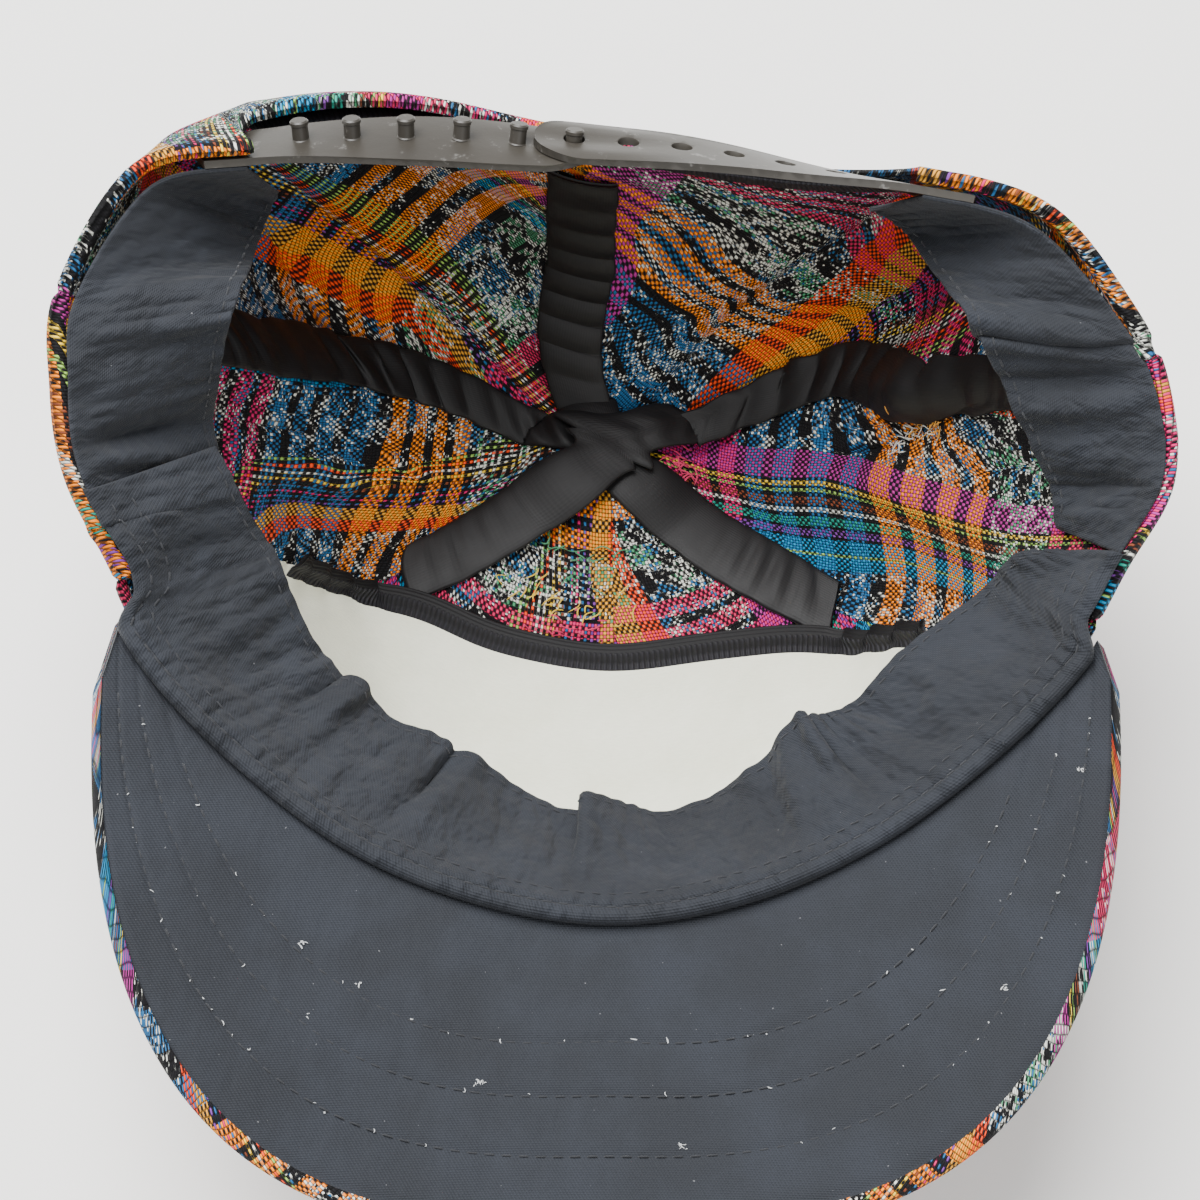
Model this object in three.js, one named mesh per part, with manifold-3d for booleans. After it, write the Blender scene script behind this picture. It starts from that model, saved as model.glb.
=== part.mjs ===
// A six-panel snapback cap of ikat cloth, lying upside down on its crown with the brim towards -Y.
// Millimetres, +Z up. The floor is z = 0 and the origin is under the middle of the cap.
import * as THREE from "three";
import { mergeVertices } from "three/addons/utils/BufferGeometryUtils.js";
import Module from "manifold-3d";

const wasm = await Module();
wasm.setup();

// Driving sizes of the crown. Its own frame has the rim near z = 0, the button below and the brim towards
// -Y.
const CROWN_DEPTH = 113; // rim to button, before the cloth flattens on the floor
const BUTTON_BACK = 15; // the button sits this far behind the middle of the rim
const ROLL = THREE.MathUtils.degToRad(26); // the brim's weight rolls the cap forward by this much
const FLOOR_SINK = 16; // how far the round crown is pressed in where it lies
const FLOOR_SOFTNESS = 4; // half the height over which the cloth turns from flat to round
const FLARE_POWER = 5; // a high power keeps the flare of the wall close to the rim
const PANEL_REACH = 155; // cloth from button to rim, along a panel
const CLOTH = 1.6; // ikat cloth and its turned seams
const HEM_HEIGHT = 6;
const HEM = 3.2; // cloth, turning and seam allowance at the rim
const GAP = 0.3; // clearance between neighbouring pieces
const BUTTON_RADIUS = 6.5;
const BUTTON_HEIGHT = 3.8;
const DIMPLE = { flat: 9, out: 24 }; // radii of the dimple that the button pushes into the crown
const BUTTON_HOLE = 0.035; // share of a panel's reach that is left open over the button
const SURFACE_MIDDLE = 0.35; // share of the depth where the point lies from which the folds push outwards

// Sizes of what is sewn to the crown.
const TAPE_WIDTH = 15;
const TAPE = 1;
const SEAM = 1; // seam allowances that lift the tapes off the cloth
const BACKING = 1.5;
const BINDING_WIDTH = 7;
const BINDING = 1.2;
const ARCH_BINDING_WIDTH = 6;
const BAND_WIDTH = 32;
const BAND = 1.3; // the sweatband's twill, folded double
const BRIM_UNDER = 1.7;
const BRIM_TOP = 2.1;
const BRIM_WRAP = 2.4; // the top cloth turns round the brim's edge by this much
const STRAP_WIDTH = 18;
const STRAP = 1.5;
const SNAP_PITCH = 9.8;
const SNAP_COUNT = 6;
const PEG_RADIUS = 1.6;
const PEG_HEIGHT = 4.6;
const HOLE_RADIUS = 2.1;

// The rim every 15 degrees round the crown, from the right side (0) over the back (90) and the left (180)
// to the front (270). flare leans the wall out at the rim, or in where it is negative; full squares the
// wall's curve.
const rimRows = [
  { angle: 0, across: 108.5, back: 9, up: -4, flare: 0.3, full: 2.2 },
  { angle: 15, across: 107.5, back: 27, up: -2, flare: 0.28, full: 2.2 },
  { angle: 30, across: 100, back: 43.5, up: 0, flare: 0.2, full: 2.2 },
  { angle: 45, across: 84, back: 62, up: 1, flare: -0.02, full: 2.2 },
  { angle: 60, across: 60, back: 69, up: 2, flare: -0.08, full: 2.2 },
  { angle: 75, across: 30, back: 71, up: 4, flare: -0.17, full: 2.2 },
  { angle: 90, across: -5, back: 71.5, up: 5, flare: -0.32, full: 2.2 },
  { angle: 105, across: -37, back: 73, up: 4, flare: -0.48, full: 2.2 },
  { angle: 120, across: -68, back: 74, up: 1, flare: -0.32, full: 2.2 },
  { angle: 135, across: -92, back: 70, up: -2, flare: -0.05, full: 2.2 },
  { angle: 150, across: -107, back: 46, up: -1, flare: 0.2, full: 2.2 },
  { angle: 165, across: -108.5, back: 27, up: -2, flare: 0.28, full: 2.2 },
  { angle: 180, across: -106, back: 10, up: -4, flare: 0.3, full: 2.2 },
  { angle: 195, across: -98, back: -6.5, up: -6, flare: 0.22, full: 2.2 },
  { angle: 210, across: -88.5, back: -24.5, up: -6, flare: 0.1, full: 2.3 },
  { angle: 225, across: -71, back: -43, up: -6, flare: 0.02, full: 2.4 },
  { angle: 240, across: -49, back: -59.5, up: -6, flare: -0.03, full: 2.4 },
  { angle: 255, across: -24, back: -69.5, up: -6, flare: -0.03, full: 2.4 },
  { angle: 270, across: 1.5, back: -73, up: -6, flare: -0.03, full: 2.4 },
  { angle: 285, across: 27, back: -68.5, up: -6, flare: -0.03, full: 2.4 },
  { angle: 300, across: 50.5, back: -58, up: -6, flare: -0.03, full: 2.4 },
  { angle: 315, across: 71.5, back: -42.5, up: -6, flare: 0.02, full: 2.4 },
  { angle: 330, across: 89, back: -25, up: -6, flare: 0.1, full: 2.3 },
  { angle: 345, across: 100, back: -7, up: -6, flare: 0.22, full: 2.2 },
];

// Soft folds of the crown: where the middle is (angle round the crown, share of the way to the rim), which
// way the fold runs (degrees, 0 along +X seen from above), its half length and half width, and how far it
// pushes out.
const foldRows = [
  { angle: 150, share: 0.58, runs: 160, length: 34, width: 11, push: -3 },
  { angle: 133, share: 0.6, runs: 120, length: 36, width: 12, push: 3.5 },
  { angle: 117, share: 0.55, runs: 130, length: 30, width: 10, push: -2.5 },
  { angle: 196, share: 0.5, runs: 150, length: 34, width: 12, push: 3 },
  { angle: 34, share: 0.6, runs: 100, length: 22, width: 10, push: -3.5 },
  { angle: 16, share: 0.6, runs: 30, length: 34, width: 11, push: 3 },
  { angle: 354, share: 0.62, runs: 140, length: 26, width: 11, push: -3 },
  { angle: 60, share: 0.5, runs: 70, length: 26, width: 11, push: 2.5 },
];

// The six seams from the button (share 0) to the rim (share 1), as angles round the crown.
const seamRows = [
  { share: 0, rearRight: 42, back: 99, rearLeft: 138, frontLeft: 222, front: 270, frontRight: 309 },
  { share: 0.2, rearRight: 42, back: 96, rearLeft: 138, frontLeft: 220, front: 270, frontRight: 312 },
  { share: 0.4, rearRight: 38, back: 91, rearLeft: 144, frontLeft: 213, front: 270, frontRight: 320 },
  { share: 0.6, rearRight: 26, back: 90, rearLeft: 148, frontLeft: 202, front: 270, frontRight: 327 },
  { share: 0.8, rearRight: 21, back: 90, rearLeft: 150, frontLeft: 199, front: 270, frontRight: 333 },
  { share: 1, rearRight: 22, back: 90, rearLeft: 150, frontLeft: 198, front: 270, frontRight: 336 },
];

// The free edge of the sweatband in the crown's frame. Its height follows from the band's width; sag
// lowers it further, or lifts it where the band is creased. The front piece, from its left end to its
// right:
const frontBandRows = [
  { angle: 183, across: -78, back: 17, sag: -4 },
  { angle: 195, across: -70, back: 2, sag: -3 },
  { angle: 203, across: -65.5, back: -5.5, sag: 0 },
  { angle: 210, across: -63, back: -13, sag: 0 },
  { angle: 219, across: -56.5, back: -24.5, sag: 0 },
  { angle: 225, across: -50.5, back: -28.5, sag: 0 },
  { angle: 234, across: -43.5, back: -37, sag: 0 },
  { angle: 240, across: -34, back: -40.5, sag: 0 },
  { angle: 247, across: -28.5, back: -43.5, sag: 0 },
  { angle: 255, across: -17, back: -51.5, sag: 0 },
  { angle: 263, across: -7.5, back: -55, sag: 0 },
  { angle: 266, across: -4.5, back: -52.3, sag: 0 },
  { angle: 272, across: 3, back: -54, sag: 0 },
  { angle: 280, across: 11.5, back: -55.5, sag: 0 },
  { angle: 285, across: 20, back: -52.7, sag: 0 },
  { angle: 292, across: 29.5, back: -44.5, sag: 0 },
  { angle: 299, across: 37.5, back: -36, sag: 0 },
  { angle: 305, across: 41.5, back: -36, sag: 0 },
  { angle: 315, across: 49, back: -32.5, sag: 0 },
  { angle: 322, across: 57, back: -24, sag: 0 },
  { angle: 330, across: 73.5, back: -11, sag: -3 },
  { angle: 338, across: 79.5, back: -4, sag: -11 },
  { angle: 346, across: 86.5, back: -3.5, sag: -18 },
];

// The left piece, from the strap to under the front piece:
const leftBandRows = [
  { angle: 121, across: -67, back: 69, sag: 0 },
  { angle: 128, across: -68, back: 65, sag: 0 },
  { angle: 135, across: -70, back: 59.5, sag: 0 },
  { angle: 143, across: -70.5, back: 53, sag: 0 },
  { angle: 150, across: -71, back: 47.5, sag: 0 },
  { angle: 165, across: -75, back: 35.5, sag: 0 },
  { angle: 175, across: -78, back: 24, sag: 2 },
  { angle: 183, across: -78, back: 13, sag: 3 },
  { angle: 192, across: -75, back: 4, sag: 4 },
];

// The right piece, from under the front piece to the strap:
const rightBandRows = [
  { angle: 346, across: 88, back: 1, sag: -12 },
  { angle: 355, across: 86.5, back: 7, sag: -10 },
  { angle: 360, across: 84.5, back: 12, sag: -8 },
  { angle: 375, across: 76, back: 28, sag: -3 },
  { angle: 390, across: 66, back: 45.5, sag: 0 },
  { angle: 398, across: 62, back: 52, sag: 0 },
  { angle: 405, across: 59, back: 58, sag: 0 },
  { angle: 412, across: 55, back: 62.5, sag: 0 },
  { angle: 420, across: 51.5, back: 65, sag: 0 },
];

// The rear opening: an arch over the strap, between two angles of the rim.
const ARCH = { from: 61, to: 120, height: 42, square: 2.3 };

// The stiff backing of the front panels, whose top is a square-shouldered arch in shares of the panel's
// reach.
const BACKING_ARCH = { from: 199, to: 328, top: 0.35, rise: 0.31, square: 4.5, fromRim: 9 };

// The brim: where it starts on the rim, its outline seen square to the rim, and its slope and arch.
const BRIM = { left: 203, right: 334, middle: -1, halfWidth: 97, start: -13, reach: 117, square: 2.8 };
const BRIM_SLOPE = Math.tan(THREE.MathUtils.degToRad(27));
const BRIM_ARCH = 0.003; // rise for each square millimetre off the middle
const BRIM_FRONT = { back: -73, up: -6.4 }; // the middle of its seam
const BRIM_CLEAR = 1.1; // clearance to the bulge of the crown

// Sections of the brim's two layers from seam to edge: share of the reach, millimetres short of the edge,
// and the depths of the upper and the lower face. The top cloth wraps the edge and comes up beside the
// underside.
const BRIM_JOIN = BRIM_UNDER + GAP;
const brimUnderRows = [
  { out: 0, short: 0, upper: 0, lower: BRIM_UNDER },
  { out: 0.33, short: 0, upper: 0, lower: BRIM_UNDER },
  { out: 0.67, short: 0, upper: 0, lower: BRIM_UNDER },
  { out: 1, short: BRIM_WRAP + GAP, upper: 0, lower: BRIM_UNDER },
];
const brimTopRows = [
  { out: 0, short: 0, upper: BRIM_JOIN, lower: BRIM_JOIN + BRIM_TOP },
  { out: 0.33, short: 0, upper: BRIM_JOIN, lower: BRIM_JOIN + BRIM_TOP },
  { out: 0.67, short: 0, upper: BRIM_JOIN, lower: BRIM_JOIN + BRIM_TOP },
  { out: 1, short: BRIM_WRAP, upper: BRIM_JOIN, lower: BRIM_JOIN + BRIM_TOP },
  { out: 1, short: BRIM_WRAP - 0.1, upper: 0.1, lower: BRIM_JOIN + BRIM_TOP },
  { out: 1, short: 0.8, upper: -0.1, lower: BRIM_JOIN + 0.85 * BRIM_TOP },
  { out: 1, short: 0, upper: 0.9, lower: BRIM_JOIN + 0.4 * BRIM_TOP },
];

// The snap strap's two tails, by the places of their ends across the cap. The pegs' tail lies under the
// holes'.
const STRAP_FROM_RIM = 1;
const STRAP_LEAN = 3.5; // the edge away from the rim stands out this much more between the ends
const PEG_TAIL = { root: -78, tip: -4.2 };
const HOLE_TAIL = { root: 70, tip: -13.8 };
const FIRST_SNAP = -6.8; // the one snap that is closed

// Small helpers
const mix = THREE.MathUtils.lerp;
const smooth = THREE.MathUtils.smoothstep;

const unitAt = (degrees) => {
  const a = THREE.MathUtils.degToRad(degrees);
  return new THREE.Vector2(Math.cos(a), Math.sin(a));
};

// A column of an evenly spaced, closed table at any angle, by a Catmull-Rom curve.
function readRing(rows, angle, column) {
  const step = 360 / rows.length;
  const place = THREE.MathUtils.euclideanModulo(angle, 360) / step;
  const row = Math.floor(place);
  const t = place - row;
  const [a, b, c, d] = [-1, 0, 1, 2].map((k) => rows[(row + k + rows.length) % rows.length][column]);
  return 0.5 * (2 * b + (c - a) * t + (2 * a - 5 * b + 4 * c - d) * t * t + (3 * b - a - 3 * c + d) * t ** 3);
}

// A column of an open table, straight between its rows.
function readRows(rows, key, value, column) {
  const next = Math.max(1, rows.findIndex((row) => row[key] >= value));
  const [a, b] = value >= rows.at(-1)[key] ? rows.slice(-2) : [rows[next - 1], rows[next]];
  return mix(a[column], b[column], THREE.MathUtils.clamp((value - a[key]) / (b[key] - a[key]), 0, 1));
}

const seamAngle = (seam, share) => readRows(seamRows, "share", share, seam);

// Superellipse: across and up at a turn from 0 to 180 degrees, each at most 1.
function squareArch(turn, square) {
  const a = unitAt(turn);
  return [Math.sign(a.x) * Math.abs(a.x) ** (2 / square), Math.abs(a.y) ** (2 / square)];
}

// How far the folds push the cloth out, at a place of the crown laid out flat round its button.
function foldPush(angle, share) {
  const here = unitAt(angle).multiplyScalar(share * PANEL_REACH);
  let push = 0;
  for (const fold of foldRows) {
    const offset = here.clone().sub(unitAt(fold.angle).multiplyScalar(fold.share * PANEL_REACH));
    const run = unitAt(fold.runs);
    const along = offset.dot(run) / fold.length;
    const beside = offset.cross(run) / fold.width;
    push += fold.push * Math.exp(-beside * beside - along ** 4);
  }
  return push;
}

// The outside of the crown in its own frame. share is 0 at the button and 1 at the rim.
function crownInFrame(angle, share) {
  const read = (column) => readRing(rimRows, angle, column);
  const bend = (Math.PI / 2) * share;
  const full = read("full");
  const squared = (Math.sin(bend) ** full + Math.max(Math.cos(bend), 0) ** full) ** (-1 / full);
  const flare = read("flare");
  const reach = Math.sin(bend) * squared * (1 - flare) + flare * share ** FLARE_POWER;
  const rise = 1 - Math.cos(bend) * squared;
  const point = new THREE.Vector3(
    read("across") * reach,
    BUTTON_BACK + (read("back") - BUTTON_BACK) * reach,
    -CROWN_DEPTH + (read("up") + CROWN_DEPTH) * rise,
  );
  const middle = new THREE.Vector3(0, BUTTON_BACK, -CROWN_DEPTH * SURFACE_MIDDLE);
  return point.add(point.clone().sub(middle).normalize().multiplyScalar(foldPush(angle, share)));
}

// From the crown's frame to the floor: the whole cap rolls forward and stands at its height.
function standing(point, height) {
  const rolled = point.clone().applyAxisAngle(new THREE.Vector3(1, 0, 0), ROLL);
  rolled.z += height;
  return rolled;
}

// How high the rim's middle stands. The lowest place is searched for on a grid of angles and shares.
function restHeight() {
  const grid = { turn: 5, share: 0.02, upTo: 0.8 };
  let lowest = Infinity;
  for (let angle = 0; angle < 360; angle += grid.turn) {
    for (let share = 0; share < grid.upTo; share += grid.share) {
      lowest = Math.min(lowest, standing(crownInFrame(angle, share), 0).z);
    }
  }
  return -lowest - FLOOR_SINK;
}
const RIM_HEIGHT = restHeight();
const BUTTON_AT = standing(crownInFrame(0, 0), RIM_HEIGHT);

// The floor under soft cloth: below it the height is 0, above it nothing changes, and between it turns
// softly.
function flattened(z) {
  if (z >= FLOOR_SOFTNESS) return z;
  if (z <= -FLOOR_SOFTNESS) return 0;
  return (z + FLOOR_SOFTNESS) ** 2 / (4 * FLOOR_SOFTNESS);
}

function crownPoint(angle, share) {
  const point = standing(crownInFrame(angle, share), RIM_HEIGHT);
  const off = Math.hypot(point.x - BUTTON_AT.x, point.y - BUTTON_AT.y);
  const dimple = (BUTTON_HEIGHT + GAP) * (1 - smooth(off, DIMPLE.flat, DIMPLE.out));
  point.z = Math.max(flattened(point.z), dimple);
  return point;
}

// A point at a depth under the outside of the crown, along the cloth's own normal.
function crownAt(angle, share, inset) {
  const near = Math.max(share, 0.01);
  const [da, ds] = [0.6, 0.004];
  const round = crownPoint(angle + da, near).sub(crownPoint(angle - da, near));
  const up = crownPoint(angle, Math.min(near + ds, 1)).sub(crownPoint(angle, near - ds));
  const out = round.cross(up).normalize();
  return crownPoint(angle, share).addScaledVector(out, -inset);
}

// The share that is some millimetres of cloth in from the rim.
function shareFromRim(angle, distance) {
  const stretch = crownPoint(angle, 1).distanceTo(crownPoint(angle, 0.98)) / 0.02;
  return 1 - distance / stretch;
}

// A place of the crown laid out flat: shares along two axes, and back to an angle and a share.
const flatPlace = (angle, share) => unitAt(angle).multiplyScalar(share);
const angleOf = (flat) => THREE.MathUtils.radToDeg(Math.atan2(flat.y, flat.x));
const onCrown = (flat, inset) => crownAt(angleOf(flat), flat.length(), inset);

// Solids
function facingOut(geometry) {
  if (solidOf(geometry).volume() > 0) return geometry;
  const index = geometry.getIndex().array;
  for (let i = 0; i < index.length; i += 3) {
    [index[i + 1], index[i + 2]] = [index[i + 2], index[i + 1]];
  }
  return geometry;
}

function solidOf(geometry) {
  const bare = geometry.clone();
  bare.deleteAttribute("normal");
  bare.deleteAttribute("uv");
  const merged = mergeVertices(bare, 1e-4);
  const mesh = new wasm.Mesh({
    numProp: 3,
    vertProperties: merged.attributes.position.array,
    triVerts: new Uint32Array(merged.index.array),
  });
  return new wasm.Manifold(mesh);
}

function geometryOf(solid) {
  const { vertProperties, triVerts, numProp, numVert } = solid.getMesh();
  const positions = new Float32Array(numVert * 3);
  for (let i = 0; i < numVert; i++) {
    positions.set(vertProperties.subarray(i * numProp, i * numProp + 3), i * 3);
  }
  const geometry = new THREE.BufferGeometry();
  geometry.setAttribute("position", new THREE.BufferAttribute(positions, 3));
  geometry.setIndex(new THREE.BufferAttribute(new Uint32Array(triVerts), 1));
  return geometry;
}

// Closed cloth over a grid of places: outside(i, j) and inside(i, j), with i and j from 0 to 1, are its
// two faces.
function clothShell(columns, rows, outside, inside) {
  const positions = [];
  const face = (give) => {
    const first = positions.length / 3;
    for (let i = 0; i <= columns; i++) {
      for (let j = 0; j <= rows; j++) positions.push(...give(i / columns, j / rows).toArray());
    }
    return (i, j) => first + i * (rows + 1) + j;
  };
  const out = face(outside);
  const inn = face(inside);
  const index = [];
  const quad = (a, b, c, d) => index.push(a, b, c, a, c, d);
  for (let i = 0; i < columns; i++) {
    for (let j = 0; j < rows; j++) {
      quad(out(i, j), out(i + 1, j), out(i + 1, j + 1), out(i, j + 1));
      quad(inn(i, j), inn(i, j + 1), inn(i + 1, j + 1), inn(i + 1, j));
    }
  }
  for (let i = 0; i < columns; i++) {
    quad(out(i, 0), inn(i, 0), inn(i + 1, 0), out(i + 1, 0));
    quad(out(i, rows), out(i + 1, rows), inn(i + 1, rows), inn(i, rows));
  }
  for (let j = 0; j < rows; j++) {
    quad(out(0, j), out(0, j + 1), inn(0, j + 1), inn(0, j));
    quad(out(columns, j), inn(columns, j), inn(columns, j + 1), out(columns, j + 1));
  }
  const geometry = new THREE.BufferGeometry();
  geometry.setAttribute("position", new THREE.Float32BufferAttribute(positions, 3));
  geometry.setIndex(index);
  return facingOut(geometry);
}

// Cloth of even thickness on both sides of a middle surface, which may curve away from the crown.
function evenShell(columns, rows, middle, thickness) {
  const step = 1e-3;
  const side = (sign) => (i, j) => {
    const along = middle(Math.min(i + step, 1), j).sub(middle(Math.max(i - step, 0), j));
    const over = middle(i, Math.min(j + step, 1)).sub(middle(i, Math.max(j - step, 0)));
    return middle(i, j).addScaledVector(along.cross(over).normalize(), (sign * thickness) / 2);
  };
  return clothShell(columns, rows, side(1), side(-1));
}

// A band sewn on the crown along a path of flat places, at an inset that may change along it.
function bandOnCrown(columns, path, width, inset, thickness) {
  const step = 1e-3;
  const edge = (i, j, depth) => {
    const here = path(i);
    const run = path(Math.min(i + step, 1)).sub(path(Math.max(i - step, 0))).normalize();
    const beside = new THREE.Vector2(-run.y, run.x);
    const probe = 0.005;
    const left = onCrown(here.clone().addScaledVector(beside, probe), 0);
    const right = onCrown(here.clone().addScaledVector(beside, -probe), 0);
    const stretch = left.distanceTo(right) / (2 * probe);
    return onCrown(here.addScaledVector(beside, ((j - 0.5) * width) / stretch), inset(i) + depth);
  };
  return clothShell(columns, 2, (i, j) => edge(i, j, 0), (i, j) => edge(i, j, thickness));
}

// The finished cap
const cap = new THREE.Group();
const looks = {
  ikat: { color: 0x8a4a52, roughness: 0.85, metalness: 0 },
  twill: { color: 0x43474f, roughness: 0.8, metalness: 0 },
  tape: { color: 0x242227, roughness: 0.65, metalness: 0 },
  felt: { color: 0xdfe0d6, roughness: 0.95, metalness: 0 },
  plastic: { color: 0x55534f, roughness: 0.4, metalness: 0 },
};

function add(name, geometry, look) {
  const mesh = new THREE.Mesh(geometry, new THREE.MeshStandardMaterial(looks[look]));
  mesh.name = name;
  cap.add(mesh);
}

// The share at which the cloth ends: 1 at the rim, and less in the arch over the strap.
function clothEnd(angle) {
  const off = Math.abs((2 * angle - ARCH.from - ARCH.to) / (ARCH.to - ARCH.from));
  return off >= 1 ? 1 : shareFromRim(angle, ARCH.height * (1 - off ** ARCH.square) ** (1 / ARCH.square));
}

// Stations of a rear panel along the rim: even up to the arch, then closer together where the arch is
// steep.
function archStations(outer, corner, middle) {
  const plain = 0.35; // share of the stations that are outside the arch
  return (i) => {
    if (i <= plain) return mix(outer, corner, i / plain);
    const [short] = squareArch((90 * (i - plain)) / (1 - plain), ARCH.square);
    return middle + (corner - middle) * short;
  };
}

// One crown panel between two seams, the second of which may be a turn further on. hem is its thickness
// along the rim, and stations are its columns there.
function crownPanel(seamA, seamB, hem, stations) {
  const turn = seamAngle(seamB, 1) < seamAngle(seamA, 1) ? 360 : 0;
  const [rimA, rimB] = [seamAngle(seamA, 1), seamAngle(seamB, 1) + turn];
  const crowding = 0.3; // rows lie closer together by the button
  const place = (i, j) => {
    const atRim = stations ? stations(i) : mix(rimA, rimB, i);
    const share = mix(BUTTON_HOLE, clothEnd(atRim), j * (1 - crowding * (1 - j) ** 2));
    const across = (atRim - rimA) / (rimB - rimA);
    const [a, b] = [seamAngle(seamA, share), seamAngle(seamB, share) + turn];
    const girth = crownPoint(a, share).distanceTo(crownPoint(a + 1, share));
    const slit = GAP / 2 / girth;
    return { angle: THREE.MathUtils.clamp(mix(a, b, across), a + slit, b - slit), share };
  };
  const thickness = ({ angle, share }) => {
    const low = shareFromRim(angle, HEM_HEIGHT + 1);
    const high = shareFromRim(angle, HEM_HEIGHT - 1);
    return mix(CLOTH, hem, clothEnd(angle) < 1 ? 0 : smooth(share, low, high));
  };
  const face = (depth) => (i, j) => {
    const here = place(i, j);
    return crownAt(here.angle, here.share, depth * thickness(here));
  };
  return clothShell(11, 15, face(0), face(1));
}

const rightOfArch = archStations(seamAngle("rearRight", 1), ARCH.from, seamAngle("back", 1));
const leftOfArch = archStations(seamAngle("rearLeft", 1), ARCH.to, seamAngle("back", 1));
add("side_panel_right", crownPanel("frontRight", "rearRight", HEM), "ikat");
add("back_panel_right", crownPanel("rearRight", "back", HEM, rightOfArch), "ikat");
add("back_panel_left", crownPanel("back", "rearLeft", HEM, (i) => leftOfArch(1 - i)), "ikat");
add("side_panel_left", crownPanel("rearLeft", "frontLeft", HEM), "ikat");
add("front_panel_left", crownPanel("frontLeft", "front", CLOTH), "ikat");
add("front_panel_right", crownPanel("front", "frontRight", CLOTH), "ikat");

// The cloth-covered button on the outside, which lies in its dimple on the floor.
function button() {
  const profile = [[0, 0], [0.7, 0.06], [0.93, 0.3], [1, 0.6], [0.9, 1], [0, 1]];
  const points = profile.map(([r, z]) => new THREE.Vector2(r * BUTTON_RADIUS, z * BUTTON_HEIGHT));
  const geometry = new THREE.LatheGeometry(points, 20);
  geometry.rotateX(Math.PI / 2);
  geometry.translate(BUTTON_AT.x, BUTTON_AT.y, 0);
  return facingOut(geometryOf(solidOf(geometry)));
}
add("top_button", button(), "ikat");

// Seam tapes. Where they cross over the button, the back tape lies on two of them and the cross tape on
// all. A layer is lifted up to the first distance from the button and comes down to the cloth by the
// second.
const FIRST_LAYER = CLOTH + SEAM;
const seamPath = (seam, from, to) => (i) => {
  const share = mix(from, to, i);
  return flatPlace(seamAngle(seam, share), share);
};
const layered = (lift, near, far, place) => (i) => {
  const off = place(i).length() * PANEL_REACH;
  return FIRST_LAYER + lift * (1 - smooth(off, near, far));
};
const rearLeftPath = seamPath("rearLeft", 0.01, 0.86);
const frontRightPath = seamPath("frontRight", 0.01, 0.43);
const backPath = seamPath("back", 0.02, 0.62);
const crossPath = (i) => {
  const share = mix(-0.37, 0.83, i);
  const seam = share < 0 ? "frontLeft" : "rearRight";
  return flatPlace(seamAngle(seam, Math.abs(share)), Math.abs(share));
};
const onSeam = () => FIRST_LAYER;
const backLayer = layered(TAPE + GAP, 26, 40, backPath);
const crossLayer = layered(2 * TAPE + 4 * GAP, 24, 44, crossPath);
add("seam_tape_rear_left", bandOnCrown(14, rearLeftPath, TAPE_WIDTH, onSeam, TAPE), "tape");
add("seam_tape_front_right", bandOnCrown(8, frontRightPath, TAPE_WIDTH, onSeam, TAPE), "tape");
add("seam_tape_back", bandOnCrown(12, backPath, TAPE_WIDTH, backLayer, TAPE), "tape");
add("seam_tape_cross", bandOnCrown(22, crossPath, TAPE_WIDTH, crossLayer, TAPE), "tape");

// White backing of the front panels, from its arched top down to just short of the rim.
const ON_CLOTH = CLOTH + 3.5 * GAP; // faceted cloth needs a little more than the gap
const backingTop = (angle) => {
  const { from, to, top, rise, square } = BACKING_ARCH;
  return top + rise * Math.abs((2 * angle - from - to) / (to - from)) ** square;
};
// Stations along it, closer together at its two shoulders.
const shouldered = (i) => 0.5 - 0.5 * Math.cos(Math.PI * i);
function backing() {
  const face = (inset) => (i, j) => {
    const angle = mix(BACKING_ARCH.from, BACKING_ARCH.to, shouldered(i));
    return crownAt(angle, mix(backingTop(angle), shareFromRim(angle, BACKING_ARCH.fromRim), j), inset);
  };
  return clothShell(20, 9, face(ON_CLOTH), face(ON_CLOTH + BACKING));
}
add("front_backing", backing(), "felt");

// Its black binding, half on the backing and half on the cloth and the ends of the tapes.
const bindingPath = (i) => {
  const angle = mix(BACKING_ARCH.to - 7, BACKING_ARCH.from + 1, shouldered(i));
  return flatPlace(angle, backingTop(angle));
};
const onBacking = () => ON_CLOTH + BACKING + 5.5 * GAP;
add("backing_binding", bandOnCrown(30, bindingPath, BINDING_WIDTH, onBacking, BINDING), "tape");

// Sweatband. Its base follows the rim on the inside and its free edge comes from the tables in the crown's
// frame.
const inFrame = (world) => {
  const point = world.clone();
  point.z -= RIM_HEIGHT;
  return point.applyAxisAngle(new THREE.Vector3(1, 0, 0), -ROLL);
};
const BASE_DROP = 1.2; // the sweatband starts this far under the rim's edge
const LEAST_HANG = 6; // the free edge lies at least this far under the base
const HOLLOW = 1.5; // the band sags this much between its base and its free edge
const SIDE_BAND_INSET = HEM + GAP + BAND / 2 + 0.3;

function freeEdge(rows, angle, base) {
  const read = (column) => readRows(rows, "angle", angle, column);
  const edge = new THREE.Vector3(read("across"), read("back"), base.z);
  const inward = Math.hypot(edge.x - base.x, edge.y - base.y);
  edge.z -= Math.sqrt(Math.max(BAND_WIDTH ** 2 - inward ** 2, LEAST_HANG ** 2)) + read("sag");
  return edge;
}

// The band between its base and its free edge.
function hanging(base, edge, t) {
  const point = base.clone().lerp(edge, t);
  point.z -= HOLLOW * Math.sin(Math.PI * t);
  return point;
}

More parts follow.
